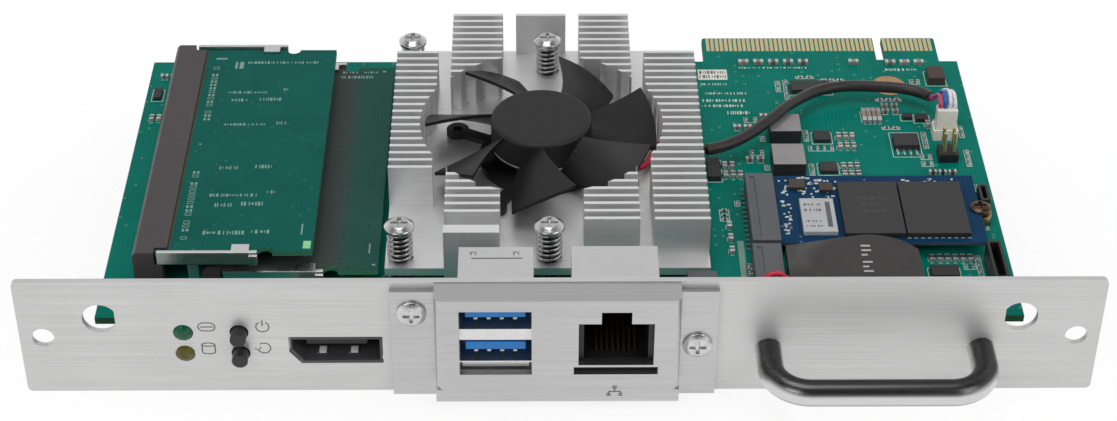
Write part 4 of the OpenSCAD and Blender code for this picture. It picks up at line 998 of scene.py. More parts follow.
@dataclass
class Legend:
    """Printed marks on a level face: bars, rows of small bars and outlines, which spell nothing.

    All its lengths are in millimetres.
    """

    level: float
    rise: float = 0.03
    stroke: float = 0.16
    seed: int = 3
    taper: float = 0.94
    shortest: float = 0.2
    widths: tuple[float, ...] = (0.22, 0.3, 0.5)
    heights: tuple[float, ...] = (0.55, 1.0, 1.0)
    gaps: tuple[float, ...] = (0.2, 0.26, 0.5)
    stirs: tuple[int, int, int] = (7919, 131, 17)
    bars: list[Four] = field(default_factory=list)

    def bar(self, x0: float, y0: float, x1: float, y1: float) -> None:
        """Add one filled rectangle."""
        self.bars.append((x0, y0, x1, y1))

    def row(self, x0: float, x1: float, y: float, tall: float) -> None:
        """Add a row of small upright bars of uneven width, height and spacing.

        Args:
            x0: Start of the row.
            x1: Its end.
            y: Its middle line.
            tall: Height of its tallest bars.
        """
        by_seed, by_x, by_y = self.stirs
        draw = random.Random(round(self.seed * by_seed + x0 * by_x + y * by_y))
        x = x0
        while x < x1 - self.shortest:
            wide = draw.choice(self.widths)
            high = tall * draw.choice(self.heights) / 2
            self.bar(x, y - high, min(x + wide, x1), y + high)
            x += wide + draw.choice(self.gaps)

    def outline(self, x0: float, y0: float, x1: float, y1: float) -> None:
        """Add the four sides of a rectangle."""
        wide = self.stroke
        self.bars += [(x0, y0, x1, y0 + wide), (x0, y1 - wide, x1, y1), (x0, y0, x0 + wide, y1),
                      (x1 - wide, y0, x1, y1)]

    def fill(self, rows: Sequence[Four] = (), bars: Sequence[Four] = ()) -> "Legend":
        """Add rows and bars, and return the legend.

        Args:
            rows: Start, end, middle line and height of each row.
            bars: Low and high corner of each bar.

        Returns:
            The legend.
        """
        for row in rows:
            self.row(*row)
        self.bars.extend(bars)
        return self

    def cast(self, name: str) -> Piece:
        """Make all the marks from copies of one raised mark, and join them.

        Args:
            name: Name of the piece.

        Returns:
            The marks as one piece.
        """
        first = Bench.block("mark", (0, 0, 0), (1, 1, 1))
        Bench.edit(first, lambda c, n: n.z > 0.5,
                   lambda: bpy.ops.transform.resize(value=(self.taper, self.taper, 1)))
        return Bench.spread(first, name, [
            ((x0, y0, self.level - self.rise), Matrix.Diagonal((x1 - x0, y1 - y0, 2 * self.rise, 1)))
            for x0, y0, x1, y1 in self.bars])


@dataclass
class Assembly:
    """A sub-assembly of the module, which dresses its nodes and adds its own pieces."""

    body: str = "module"
    dressed: Rows = ()

    @staticmethod
    def top(node: str) -> float:
        """Height of a node's top in millimetres."""
        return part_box(node)[1][2] / MM

    def skin(self, node: str, look: Look, edge: float = 0.0, segments: int = 2, body: str = "") -> Piece:
        """Dress one CAD node.

        Args:
            node: Name of the node.
            look: Its finish.
            edge: Width of its rounded edges in millimetres; a softened copy then stands for it.
            segments: Steps of the rounding.
            body: The body that it rides on, where that isn't the assembly's own.

        Returns:
            The object that shows.
        """
        if not edge:
            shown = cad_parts[node]
            for holder in shown.material_slots:
                holder.material = look.material
            log.info("%s: finished as %s", node, look.value.label)
            return shown
        shown = Bench.cast(node, node + "_skin")
        Bench.round_off(shown, edge, segments)
        self.place(shown, look, body, node)
        return shown

    def place(self, piece: Piece, look: Look, body: str = "", *nodes: str) -> Piece:
        """Give a new piece its finish and body, and let it stand for nodes.

        Args:
            piece: The new piece.
            look: Its finish.
            body: The body that it rides on, where that isn't the assembly's own.
            nodes: The nodes that it stands for.

        Returns:
            The piece.
        """
        piece.data.materials.clear()
        piece.data.materials.append(look.material)
        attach(piece, body or self.body)
        if nodes:
            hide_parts(*nodes)
        log.info("%s: made, finished as %s", piece.name, look.value.label)
        return piece

    def patch(self, piece: Piece, look: Look, rule: Rule) -> None:
        """Give another finish to the faces that a rule picks.

        Args:
            piece: The piece to change.
            look: The other finish.
            rule: Takes a face's middle in millimetres and its normal.
        """
        piece.data.materials.append(look.material)
        for face in piece.data.polygons:
            if rule(face.center / MM, face.normal):
                face.material_index = len(piece.data.materials) - 1

    def wires(self, stem: str, node: str, routes: Sequence[Sequence[Point]], widths: Sequence[float],
              looks: Sequence[Look]) -> list[Piece]:
        """Lay one wire along each route.

        Args:
            stem: Start of the wires' names.
            node: The node that they stand for together.
            routes: The points of each wire in millimetres, with heights above the board.
            widths: Diameter of each wire in millimetres.
            looks: Finish of each wire.

        Returns:
            The wires.
        """
        made = []
        for k, (route, wide, look) in enumerate(zip(routes, widths, looks)):
            wire = Bench.tube(f"{stem}_{k + 1}", smooth_route(route), wide, sides=2)
            made.append(self.place(wire, look))
        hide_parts(node)
        return made

    def dress(self) -> None:
        """Dress the nodes of the table, whose rows hold the arguments of skin."""
        for row in self.dressed:
            self.skin(*row)

    def build(self) -> None:
        """Dress the nodes; a sub-assembly with pieces of its own adds them here."""
        self.dress()


@dataclass
class FrontPanel(Assembly):
    """Faceplate, raised bracket, their screws, nuts and angles."""

    dressed: Rows = (
        ("faceplate", Look.PLATE, 0.12), ("port_bracket", Look.BRACKET, 0.18, 3),
        ("bracket_screws", Look.SCREW, 0.08), ("clinch_nuts", Look.ANGLE),
        ("angle_brackets", Look.ANGLE, 0.15), ("board_screws", Look.SCREW))


@dataclass
class PullHandle(Assembly):
    """Bent rod and its two screws."""

    dressed: Rows = (("handle_screws", Look.SCREW),)
    rod_d: float = 5.0
    bend_r: float = 7.0
    bend_steps: int = 16
    smooth_to: float = 40.0

    def rod(self) -> Piece:
        """Sweep the rod along its two legs, its two bends and its grip.

        Returns:
            The rod.
        """
        low, high = (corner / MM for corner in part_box("handle"))
        left, right = low.x + self.rod_d / 2, high.x - self.rod_d / 2
        front, height = low.y + self.rod_d / 2, (low.z + high.z) / 2
        line = [Vector((left, high.y, height))]
        for middle, start in ((left + self.bend_r, math.pi), (right - self.bend_r, math.pi * 1.5)):
            for k in range(self.bend_steps + 1):
                turn = start + math.pi / 2 * k / self.bend_steps
                line.append(Vector((middle + self.bend_r * math.cos(turn),
                                    front + self.bend_r + self.bend_r * math.sin(turn), height)))
        line.append(Vector((right, high.y, height)))
        return Bench.tube("handle_rod", [p * MM for p in line], self.rod_d, sides=10)

    def build(self) -> None:
        """Sweep the rod and dress the screws."""
        self.dress()
        rod = self.rod()
        Bench.hold(rod)
        bpy.ops.object.shade_smooth_by_angle(angle=math.radians(self.smooth_to))
        self.place(rod, Look.HANDLE, "", "handle")


@dataclass
class Indicators(Assembly):
    """Lamps, push buttons, the upright board behind them and the plain signs beside them."""

    dressed: Rows = (
        ("power_led", Look.GREEN_LENS), ("disk_led", Look.AMBER_LENS), ("indicator_board", Look.BOARD, 0.1),
        ("switch_bodies", Look.BLACK, 0.1), ("power_button", Look.BLACK, 0.15, 3, "power_key"),
        ("reset_button", Look.BLACK, 0.15, 3, "reset_key"))
    sign_xs: Pair = (-65.3, -55.0)
    sign_zs: Pair = (2.5, -2.6)
    sign_r: float = 1.2
    line_w: float = 0.24

    @staticmethod
    def arc(x: float, z: float, radius: float, start: float, end: float, flat: float = 1.0,
            steps: int = 14) -> list[Pair]:
        """Points of an arc between two angles in degrees."""
        turns = [math.radians(start + (end - start) * k / steps) for k in range(steps + 1)]
        return [(x + radius * math.cos(t), z + radius * flat * math.sin(t)) for t in turns]

    def signs(self) -> Piece:
        """Draw a battery-like lamp sign, a disk, a power sign and a turning arrow as flat lines.

        Returns:
            The four signs as one piece.
        """
        (lamp_x, key_x), (high, low), r = self.sign_xs, self.sign_zs, self.sign_r
        lines = [
            self.arc(lamp_x - r * 0.5, high, r * 0.8, 90, 270),
            self.arc(lamp_x + r * 0.5, high, r * 0.8, -90, 90),
            [(lamp_x - r * 0.5, high + r * 0.8), (lamp_x + r * 0.5, high + r * 0.8)],
            [(lamp_x - r * 0.5, high - r * 0.8), (lamp_x + r * 0.5, high - r * 0.8)],
            [(lamp_x - r, high), (lamp_x + r, high)],
            self.arc(lamp_x, low + r * 0.7, r, 0, 360, 0.35),
            [(lamp_x - r, low + r * 0.7), (lamp_x - r, low - r * 0.8)],
            [(lamp_x + r, low + r * 0.7), (lamp_x + r, low - r * 0.8)],
            self.arc(lamp_x, low - r * 0.8, r, 180, 360, 0.35),
            self.arc(key_x, high, r, 120, 420), [(key_x, high + r * 1.3), (key_x, high + r * 0.2)],
            self.arc(key_x, low, r, 200, 490),
            [(key_x - r * 1.45, low - r * 0.05), (key_x - r * 0.85, low - r * 0.5),
             (key_x - r * 0.5, low + r * 0.2)]]
        return Bench.strokes("panel_signs", lines, -INK_OUT, self.line_w)

    def build(self) -> None:
        """Dress the lamps and the buttons, and draw the signs."""
        self.dress()
        self.place(self.signs(), Look.INK)


@dataclass
class Ports(Assembly):
    """Display port, double serial port and network jack."""

    dressed: Rows = (
        ("display_port_shell", Look.PORT_GREY, 0.1), ("display_port_insert", Look.BLACK, 0.1),
        ("usb_shell", Look.SHELL, 0.15), ("usb_inserts", Look.BLUE, 0.1),
        ("network_jack_shell", Look.SHELL, 0.15), ("network_jack_insert", Look.BLACK, 0.1),
        ("network_contacts", Look.DULL_GOLD))
    seam: Four = (-16.7, 9.7, -6.9, 10.0)
    curl_xs: Pair = (-16.2, -8.2)
    curl: tuple[Four, ...] = (
        (-0.6, 11.6, 0.6, 11.8), (-0.6, 10.8, -0.35, 11.8), (0.2, 11.0, 0.6, 11.25))
    sign: Pair = (9.95, -8.7)
    sign_lines: tuple[Four, ...] = (
        (-0.45, 1.3, 0.45, 1.3), (-0.45, 0.9, 0.45, 0.9), (0, 0.8, 0, 0), (-1.1, 0, 1.1, 0),
        (-1.1, 0, -1.1, -0.4), (1.1, 0, 1.1, -0.4), (-1.5, -0.6, -0.7, -0.6), (0.7, -0.6, 1.5, -0.6),
        (-1.5, -0.95, -0.7, -0.95), (0.7, -0.95, 1.5, -0.95))
    tip: tuple[float, float, float] = (0.8, 0.24, 0.5)
    tip_edge: float = 0.08
    tip_side: float = 0.1
    tip_reach: float = 0.72
    tip_drop: float = 0.25
    tab: Four = (-5.36, 1.95, 3.8, 0.68)
    tab_xs: Pair = (-44.45, -38.55)
    line_w: float = 0.26

    def tabs(self) -> Piece:
        """Lay the tips of the display port's two springs, painted pale as a painted highlight.

        Returns:
            The tips as one piece.
        """
        level, low, high, half = self.tab
        bars = [(x - half, low, x + half, high) for x in self.tab_xs]
        return Legend(level, rise=0.05).fill(bars=bars).cast("display_port_tabs_painted_highlight")

    def seams(self) -> Piece:
        """Draw the folded seam and the two punched marks on top of the double port.

        Returns:
            The marks as one piece.
        """
        bars = [self.seam]
        for x in self.curl_xs:
            bars += moved(self.curl, x, 0)
        return Legend(self.top("usb_shell"), rise=0.02).fill(bars=bars).cast("port_seams")

    def contact_tips(self, contacts: Sequence[Corners]) -> Piece:
        """Bend one contact's end up in front of its tongue, and copy it to each contact.

        Args:
            contacts: Lowest and highest corner of each contact, in millimetres.

        Returns:
            The ends as one piece.
        """
        first = Bench.round_off(Bench.block("tip", (0, 0, 0), self.tip), self.tip_edge, 1)
        return Bench.spread(first, "usb_contact_tips", [
            ((low.x + self.tip_side, low.y - self.tip_reach, low.z - self.tip_drop), None)
            for low, _ in contacts])

    def network_sign(self) -> Piece:
        """Draw one box above two boxes, joined by lines.

        Returns:
            The sign as one piece.
        """
        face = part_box("port_bracket")[0][1] / MM - INK_OUT
        lines = [[(x0, z0), (x1, z1)] for x0, z0, x1, z1 in moved(self.sign_lines, *self.sign)]
        return Bench.strokes("network_sign", lines, face, self.line_w)

    def build(self) -> None:
        """Dress shells, inserts and contacts, and draw the seams and the sign."""
        self.place(self.seams(), Look.SEAM)
        self.place(self.network_sign(), Look.INK)
        # Pale spring tips: a painted highlight.
        self.place(self.tabs(), Look.TAB)
        self.dress()
        contacts = self.skin("usb_contacts", Look.GOLD, 0.04, 1)
        self.place(self.contact_tips(Bench.parcels(contacts)), Look.BACK)


@dataclass
class MainBoard(Assembly):
    """The board, its gold contacts, the small parts on it and its print."""

    dressed: Rows = (("main_board", Look.BOARD, 0.08, 1), ("edge_contacts", Look.GOLD))
    leg_h: float = 0.42
    leg_field: Four = (69, 58, 76, 68)
    brown_chip_x: float = 77
    battery_plug_x: float = 40
    dark_field: Four = (60, 0, 100, 60)
    pin_foot: float = 2.1
    pin_field: Four = (78.0, 56.5, 82.4, 60.9)
    rows: tuple[Four, ...] = (
        (31, 37, 85.8, 0.7), (31.7, 40.5, 82.3, 0.7), (31, 40, 79.6, 1.0), (31.4, 39.4, 77.6, 0.9),
        (36, 40.8, 75, 1.2), (71.4, 78.4, 91.4, 0.8), (39.6, 54.4, 92.2, 0.5), (64.4, 67.6, 76.2, 1.0))
    mark_in: float = 0.1
    long_mark: Pair = (0.3, 0.14)
    side_mark: Pair = (0.24, 0.1)
    foot_mark: Pair = (0.34, 0.2)
    unmarked_y: float = 90
    chip_frame: float = 0.5
    tall_share: float = 1.5
    corner_line: float = 0.14
    label: Four = (30.5, 87.5, 37.0, 91.6)
    label_edge: float = 0.4
    label_shares: Pair = (0.3, 0.7)
    speck_h: float = 1.2
    strip: Four = (34.9, 12.0, 36.2, 31.0)
    ring: Four = (71.4, 85.2, 3.6, 1.75)
    ring_sunk: float = 0.02
    ring_t: float = 0.05
    coil_side: float = 0.4
    chiplet: tuple[float, float, float] = (1.0, 0.56, 0.4)
    chiplet_edge: float = 0.07
    pad_share: Pair = (1.45, 1.1)
    pad_reach: Pair = (-0.03, 0.05)
    pad_edge: float = 0.03
    chiplet_rows: tuple[tuple[float, float, int, float, float, int], ...] = (
        (47.5, 83.8, 2, 0, 2.3, 90), (49.2, 80.2, 4, 0, 2.1, 90), (57.6, 87.2, 3, 1.7, 0, 0),
        (52.6, 88.4, 2, 1.9, 0, 0), (39.8, 72.2, 2, 1.7, 0, 90), (42.7, 65.4, 1, 0, 0, 90),
        (40.2, 60.4, 2, 1.8, 0, 90), (42.8, 55.2, 1, 0, 0, 90), (51.8, 65.4, 2, 0, 2.2, 90),
        (52.4, 61.9, 4, 1.4, 0, 90), (51.9, 53.4, 2, 0, 2.2, 90), (54.4, 51.4, 2, 1.6, 0, 90),
        (76.6, 86.6, 2, 1.1, 0, 90), (68.8, 79.7, 3, 1.8, 0, 0), (69.0, 69.2, 2, 1.8, 0, 0),
        (76.4, 62.8, 3, 0, 2.0, 90), (75.2, 58.8, 2, 1.3, 0, 90), (75.2, 56.4, 2, 1.3, 0, 90),
        (84.4, 66.6, 2, 0, 2.3, 90), (84.4, 56.4, 3, 0, 2.0, 90), (35.8, 42.9, 1, 0, 0, 90),
        (33.0, 37.6, 3, 0, 1.5, 0), (36.6, 20.2, 2, 0, 2.4, 90), (78.8, 22.4, 2, 1.3, 0, 90),
        (81.3, 18.8, 4, 0, 2.1, 90), (84.6, 35.0, 2, 0, 2.0, 90), (84.8, 46.2, 2, 0, 2.1, 90))

    def chiplets(self) -> Piece:
        """Model one of the smallest parts on its two pads, and copy it along each row.

        Returns:
            The parts as one piece.
        """
        long, wide, high = (size / 2 for size in self.chiplet)
        part = Bench.block("chiplet", (-long, -wide, BOARD_TOP), (long, wide, BOARD_TOP + 2 * high))
        Bench.round_off(part, self.chiplet_edge, 1)
        pad_x, pad_y = long * self.pad_share[0], wide * self.pad_share[1]
        low, top = (BOARD_TOP + reach for reach in self.pad_reach)
        pads = Bench.block("pads", (-pad_x, -pad_y, low), (pad_x, pad_y, top))
        Bench.round_off(pads, self.pad_edge, 1)
        return Bench.spread(Bench.joined("chiplet", [part, pads]), "board_chiplets", [
            ((x + step_x * k, y + step_y * k, 0), Matrix.Rotation(math.radians(angle), 4, "Z"))
            for x, y, count, step_x, step_y, angle in self.chiplet_rows for k in range(count)])

    def part_marks(self, marks: Legend, parts: Sequence[Corners], chips: Sequence[Corners]) -> None:
        """Print lines beside the small parts, frames round the chips and corners round the chiplets.

        Args:
            marks: The legend that takes them.
            parts: Lowest and highest corner of each small part, in millimetres.
            chips: The same of each chip.
        """
        edge = self.mark_in
        for low, high in parts:
            if high.y > self.unmarked_y:
                continue
            if high.x - low.x > high.y - low.y:
                far, near = self.long_mark
                marks.bar(low.x + edge, high.y + near, high.x - edge, high.y + far)
            else:
                far, near = self.side_mark
                marks.bar(low.x - far, low.y + edge, low.x - near, high.y - edge)
                far, near = self.foot_mark
            marks.bar(low.x + edge, low.y - far, high.x - edge, low.y - near)
        out = self.chip_frame
        for low, high in chips:
            if high.z > BOARD_TOP + self.leg_h * self.tall_share:
                marks.outline(low.x - out, low.y - out, high.x + out, high.y + out)
        long, wide, _ = self.chiplet
        line = self.corner_line
        for x, y, count, step_x, step_y, angle in self.chiplet_rows:
            half_x, half_y = (wide, long) if angle else (long, wide)
            x0, y0 = x - half_x, y - half_y
            x1, y1 = x + step_x * (count - 1) + half_x, y + step_y * (count - 1) + half_y
            marks.fill(bars=[(x0, y0, x0 + line, y1), (x0, y0, x1, y0 + line), (x1 - line, y0, x1, y1)])

    def print_marks(self, parts: Sequence[Corners], chips: Sequence[Corners]) -> None:
        """Print the rows, the marks round the parts, the plain label and the strip.

        Args:
            parts: Lowest and highest corner of each small part, in millimetres.
            chips: The same of each chip.
        """
        marks = Legend(BOARD_TOP, seed=11).fill(self.rows)
        self.part_marks(marks, parts, chips)
        self.place(marks.cast("board_legend"), Look.PRINT)
        label = Legend(BOARD_TOP, rise=0.04).fill(bars=[self.label])
        self.place(label.cast("board_label"), Look.PLUG)
        x0, y0, x1, y1 = self.label
        specks = Legend(BOARD_TOP + label.rise, rise=0.02, seed=5).fill(
            [(x0 + self.label_edge, x1 - self.label_edge, y0 + (y1 - y0) * share, self.speck_h)
             for share in self.label_shares])
        self.place(specks.cast("label_specks"), Look.GREY_PRINT)
        self.place(Legend(BOARD_TOP).fill(bars=[self.strip]).cast("board_strip"), Look.FAINT_PRINT)

    def build(self) -> None:
        """Dress the board, its parts and its print."""
        self.dress()
        plugs = self.skin("board_connectors", Look.BLACK, 0.1)
        self.patch(plugs, Look.GOLD,
                   lambda c, n: over(c, self.pin_field) and c.z > BOARD_TOP + self.pin_foot)
        self.patch(plugs, Look.CARD_SOCKET, lambda c, n: c.x < self.battery_plug_x)
        chips = self.skin("board_chips", Look.CHIP, 0.08)
        self.patch(chips, Look.TIN, lambda c, n: over(c, self.leg_field) and c.z < BOARD_TOP + self.leg_h)
        self.patch(chips, Look.BROWN_CHIP, lambda c, n: c.x > self.brown_chip_x)
        coils = self.skin("inductors", Look.INDUCTOR, 0.25)
        self.patch(coils, Look.INDUCTOR_SIDE, lambda c, n: abs(n.z) < self.coil_side)
        caps = self.skin("capacitors", Look.CAPACITOR, 0.08)
        self.patch(caps, Look.DARK_CAPACITOR, lambda c, n: over(c, self.dark_field))
        Bench.mark_ends(caps, seed=4)
        Bench.mark_ends(self.place(self.chiplets(), Look.RESISTOR), seed=6)
        x, y, outer, inner = self.ring
        pad = Bench.ring("ring_pad", (x, y, BOARD_TOP - self.ring_sunk), outer, inner, self.ring_t)
        self.place(pad, Look.COPPER_PAD)
        self.print_marks(Bench.parcels(caps), Bench.parcels(chips))


@dataclass
class MemoryStack(Assembly):
    """Two stacked sockets with their boards and latches, and the print on the boards."""

    rows: tuple[Four, ...] = (
        (-65.1, -50.3, 81.3, 0.9), (-68.1, -59.8, 70.1, 0.9), (-56.8, -55.6, 71.2, 1.3),
        (-67.2, -63.4, 67.3, 1.1), (-61.4, -56.9, 67.6, 1.1), (-67.7, -59.5, 58.5, 0.8),
        (-57.2, -55.3, 59, 1.2), (-67.1, -63.2, 43.5, 1.2), (-60.1, -56.8, 43.9, 1.2),
        (-68.1, -58.5, 34.4, 0.9), (-57, -55.5, 35.4, 1.1), (-66.8, -63.5, 31.2, 1.2),
        (-61.7, -57.1, 31.6, 1.2), (-68.1, -59.8, 22.4, 1.2), (-58.9, -55.3, 22.7, 1.2))
    blocks: tuple[Four, ...] = (
        (-67.7, 79, -67.2, 81.6), (-66.8, 79, -65.9, 81.6), (-49.4, 21.7, -49.1, 25.2),
        (-72.1, 51.4, -71.6, 51.8), (-72, 82.5, -69.6, 83.1))
    low_rows: tuple[Four, ...] = (
        (-46, -38.4, 82.6, 1.0), (-45.6, -42, 84.4, 0.8), (-41, -38, 84.4, 0.8))
    low_blocks: tuple[Four, ...] = (
        (-37.1, 84.4, -36.4, 85), (-36.7, 21.8, -36.4, 24.9), (-35.8, 18, -35.2, 18.5))
    dressed: Rows = (
        ("upper_memory_socket", Look.SOCKET, 0.15), ("lower_memory_socket", Look.SOCKET, 0.15),
        ("upper_memory_board", Look.MEMORY, 0.08, 1), ("lower_memory_board", Look.LOW_MEMORY, 0.08, 1),
        ("memory_chips", Look.CHIP, 0.12), ("upper_latch_front", Look.SHELL, 0.1, 2, "latch_a"),
        ("upper_latch_back", Look.SHELL, 0.1, 2, "latch_b"),
        ("lower_latch_front", Look.SHELL, 0.1, 2, "latch_c"),
        ("lower_latch_back", Look.SHELL, 0.1, 2, "latch_d"), ("latch_posts", Look.SHELL, 0.1))
    columns: tuple[Pair, ...] = ((60.0, 79.5), (20.3, 43.0))
    column_x: Pair = (-72.2, -70.9)
    column_pitch: float = 1.25
    frame_share: float = 0.6
    frame_h: float = 0.9
    pair_share: float = 0.9
    pair: Pair = (0.5, 0.8)
    pad: Four = (-48.7, 17.4, -47.2, 19.8)
    finger_pitch: float = 0.6
    finger_share: float = 0.7
    finger_x: Pair = (-74.7, -73.75)

    def print_marks(self) -> None:
        """Print both boards and show the contacts at the mouth of the upper socket."""
        level = self.top("upper_memory_board")
        marks = Legend(level, seed=21).fill(self.rows, self.blocks)
        x0, x1 = self.column_x
        wide, high = self.pair
        draw = random.Random(24)
        for start, end in self.columns:
            for k in range(round((end - start) / self.column_pitch)):
                y = start + k * self.column_pitch
                kind = draw.random()
                if kind < self.frame_share:
                    marks.outline(x0, y, x1, y + self.frame_h)
                elif kind < self.pair_share:
                    marks.fill(bars=[(x0, y, x0 + wide, y + high), (x1 - wide, y, x1, y + high)])
        self.place(marks.cast("upper_memory_legend"), Look.FAINT_PRINT)
        pad = Legend(level, rise=0.04).fill(bars=[self.pad])
        self.place(pad.cast("upper_memory_pad"), Look.PALE_PAD)
        low = Legend(self.top("lower_memory_board"), seed=22).fill(self.low_rows, self.low_blocks)
        self.place(low.cast("lower_memory_legend"), Look.FAINT_PRINT)
        fingers = Legend(level)
        low_y, high_y = (corner[1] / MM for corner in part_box("upper_memory_board"))
        pitch = self.finger_pitch
        for k in range(1, round((high_y - low_y) / pitch) - 1):
            y = low_y + k * pitch
            fingers.bar(self.finger_x[0], y, self.finger_x[1], y + pitch * self.finger_share)
        self.place(fingers.cast("upper_memory_fingers"), Look.FINGER)

    def build(self) -> None:
        """Dress sockets, boards, chips and latches."""
        self.print_marks()
        self.dress()


@dataclass
class Cooler(Assembly):
    """Processor, finned block, sprung screws and back plate."""

    dressed: Rows = (
        ("processor", Look.SUBSTRATE, 0.08), ("heatsink", Look.SINK, 0.12), ("back_plate", Look.BACK, 0.12))
    coil_d: float = 5.0
    wire_d: float = 0.55
    coil_foot: float = 3.7 + BOARD_TOP
    coil_length: float = 7.2
    turns: int = 6
    turn_steps: int = 18
    screw_xs: Pair = (-30.5, -2.0)
    screw_ys: Pair = (20.8, 85.5)

    def spring(self) -> Piece:
        """Wind one spring at the origin.

        Returns:
            The spring.
        """
        reach = (self.coil_d - self.wire_d) / 2
        low, rise = self.coil_foot + self.wire_d / 2, self.coil_length - self.wire_d
        steps = self.turns * self.turn_steps
        line = []
        for k in range(steps + 1):
            angle = k / self.turn_steps * math.tau
            place = (reach * math.cos(angle), reach * math.sin(angle), low + rise * k / steps)
            line.append(Vector(place) * MM)
        return Bench.tube("cooler_spring", line, self.wire_d, sides=2)

    def build(self) -> None:
        """Dress the block and wind the springs."""
        self.dress()
        screws = self.skin("cooler_screws", Look.SCREW, 0.08)
        # Painted shade: the shank below each spring's top is painted near black.
        self.patch(screws, Look.SHANK_PAINTED_SHADE, lambda c, n: c.z < self.coil_foot + self.coil_length)
        springs = Bench.spread(self.spring(), "cooler_springs_wound",
                               [((x, y, 0), None) for x in self.screw_xs for y in self.screw_ys])
        Bench.hold(springs)
        bpy.ops.object.shade_smooth()
        self.place(springs, Look.SPRING, "", "cooler_springs")


@dataclass
class Fan(Assembly):
    """Fan base, motor, seven-blade rotor and its sleeved lead."""

    dressed: Rows = (
        ("fan_base", Look.FAN, 0.12), ("fan_stator", Look.COIL, 0.1), ("fan_bearing", Look.BEARING),
        ("fan_rotor", Look.FAN, 0.12, 2, "fan"), ("fan_header", Look.PLUG, 0.12))
    lead_d: float = 2.4
    wire_d: float = 1.1
    tail_share: float = 0.8
    dark_from: float = 28.2
    skirt: float = 6.0
    rim: tuple[float, float, float] = (10.05, 9.2, 0.5)
    rim_sunk: float = 0.05
    rim_sides: int = 96
    rim_edge: float = 0.06
    lead_route: tuple[Point, ...] = (
        (30.2, 55.7, 4.2), (33.3, 56.7, 4.2), (36.7, 58.7, 4.3), (39.6, 61, 4.5), (42.6, 63.8, 4.9),
        (45.3, 66.9, 5), (48, 70.5, 4.8), (51.1, 74.2, 4.2), (54.3, 77.2, 3.8), (58.5, 79.2, 3.6),
        (63, 79.9, 3.5), (68.5, 79.7, 3.4), (73.8, 78.9, 3.4), (77.2, 77.1, 3.5), (78.6, 75.4, 3.8))
    inner_routes: tuple[tuple[Point, ...], ...] = (
        ((7, 50.2, 5.5), (12, 47.6, 5.5), (16, 47.4, 5.5), (18, 49.4, 5.5), (19, 52.4, 5.5), (20, 55.3, 5.5),
         (21.4, 55.6, 5.8), (28, 55.6, 5.6), (29.4, 55.6, 5), (30.2, 55.7, 4.7)),
        ((7, 51.8, 5.5), (10, 50.6, 5.4), (13.4, 49.4, 4.5), (16.4, 49.6, 4.3), (18, 51.6, 4.3),
         (19.4, 55.1, 4.3), (20.8, 55.6, 4.35), (28, 55.6, 4.4), (29.6, 55.6, 4.1), (30.2, 55.7, 3.8)))
    tail_bends: tuple[tuple[Point, ...], ...] = (
        ((78.6, 75.4, 3.8), (79, 73.6, 4.4), (79, 71, 7), (79.1, 68.4, 8.8), (79.1, 66.3, 8.4),
         (79.1, 66.3, 7.2)),
        ((78.6, 75.4, 3.8), (79.3, 74, 4.6), (79.9, 71.6, 7.4), (80.1, 68.8, 9.3), (80.1, 66.3, 8.8),
         (80.1, 66.3, 7.2)),
        ((78.6, 75.4, 3.8), (79.5, 74.3, 4.6), (80.6, 72, 7.6), (81.1, 69, 9.4), (81.1, 66.3, 8.8),
         (81.1, 66.3, 7.2)),
        ((78.6, 75.4, 3.8), (79.7, 74.4, 4.2), (81.2, 72.4, 7), (82, 69.2, 9), (82.1, 66.3, 8.4),
         (82.1, 66.3, 7.2)))

    def lead(self) -> None:
        line = smooth_route(self.lead_route)
        lead = Bench.strand("fan_lead_sleeve", line, self.lead_d, sides=4)
        self.place(lead, Look.LEAD, "", "fan_lead")
        inner, tails = len(self.inner_routes), len(self.tail_bends)
        widths = [self.wire_d] * inner + [self.wire_d * self.tail_share] * tails
        wires = self.wires("fan_wire", "fan_wires", self.inner_routes + self.tail_bends, widths,
                           (Look.RED_WIRE, Look.BLACK_WIRE, Look.PINK_WIRE, Look.BLUE_WIRE,
                            Look.WHITE_WIRE, Look.WHITE_WIRE))
        for wire in wires[:inner]:
            self.patch(wire, Look.LEAD, lambda c, n: c.x > self.dark_from)
        plug = self.skin("fan_plug", Look.PLUG, 0.2)
        length = sum((b - a).length for a, b in zip(line, line[1:]))
        log.info("fan lead: %.1f mm long", length / MM)

    def cup_rim(self) -> Piece:
        """Cut the bright lower edge of the steel cup, which shows below the hub.

        Returns:
            The rim.
        """
        low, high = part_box("fan_bearing")
        x, y, _ = (low + high) / 2 / MM
        outer, inner, thick = self.rim
        base = (x, y, self.top("fan_rotor") - self.skirt - thick + self.rim_sunk)
        rim = Bench.ring("fan_cup_rim", base, outer, inner, thick, self.rim_sides)
        return Bench.round_off(rim, self.rim_edge)

    def build(self) -> None:
        """Lay the lead, and dress base, motor and rotor."""
        self.lead()
        self.place(self.cup_rim(), Look.SHELL, "fan")
        self.dress()


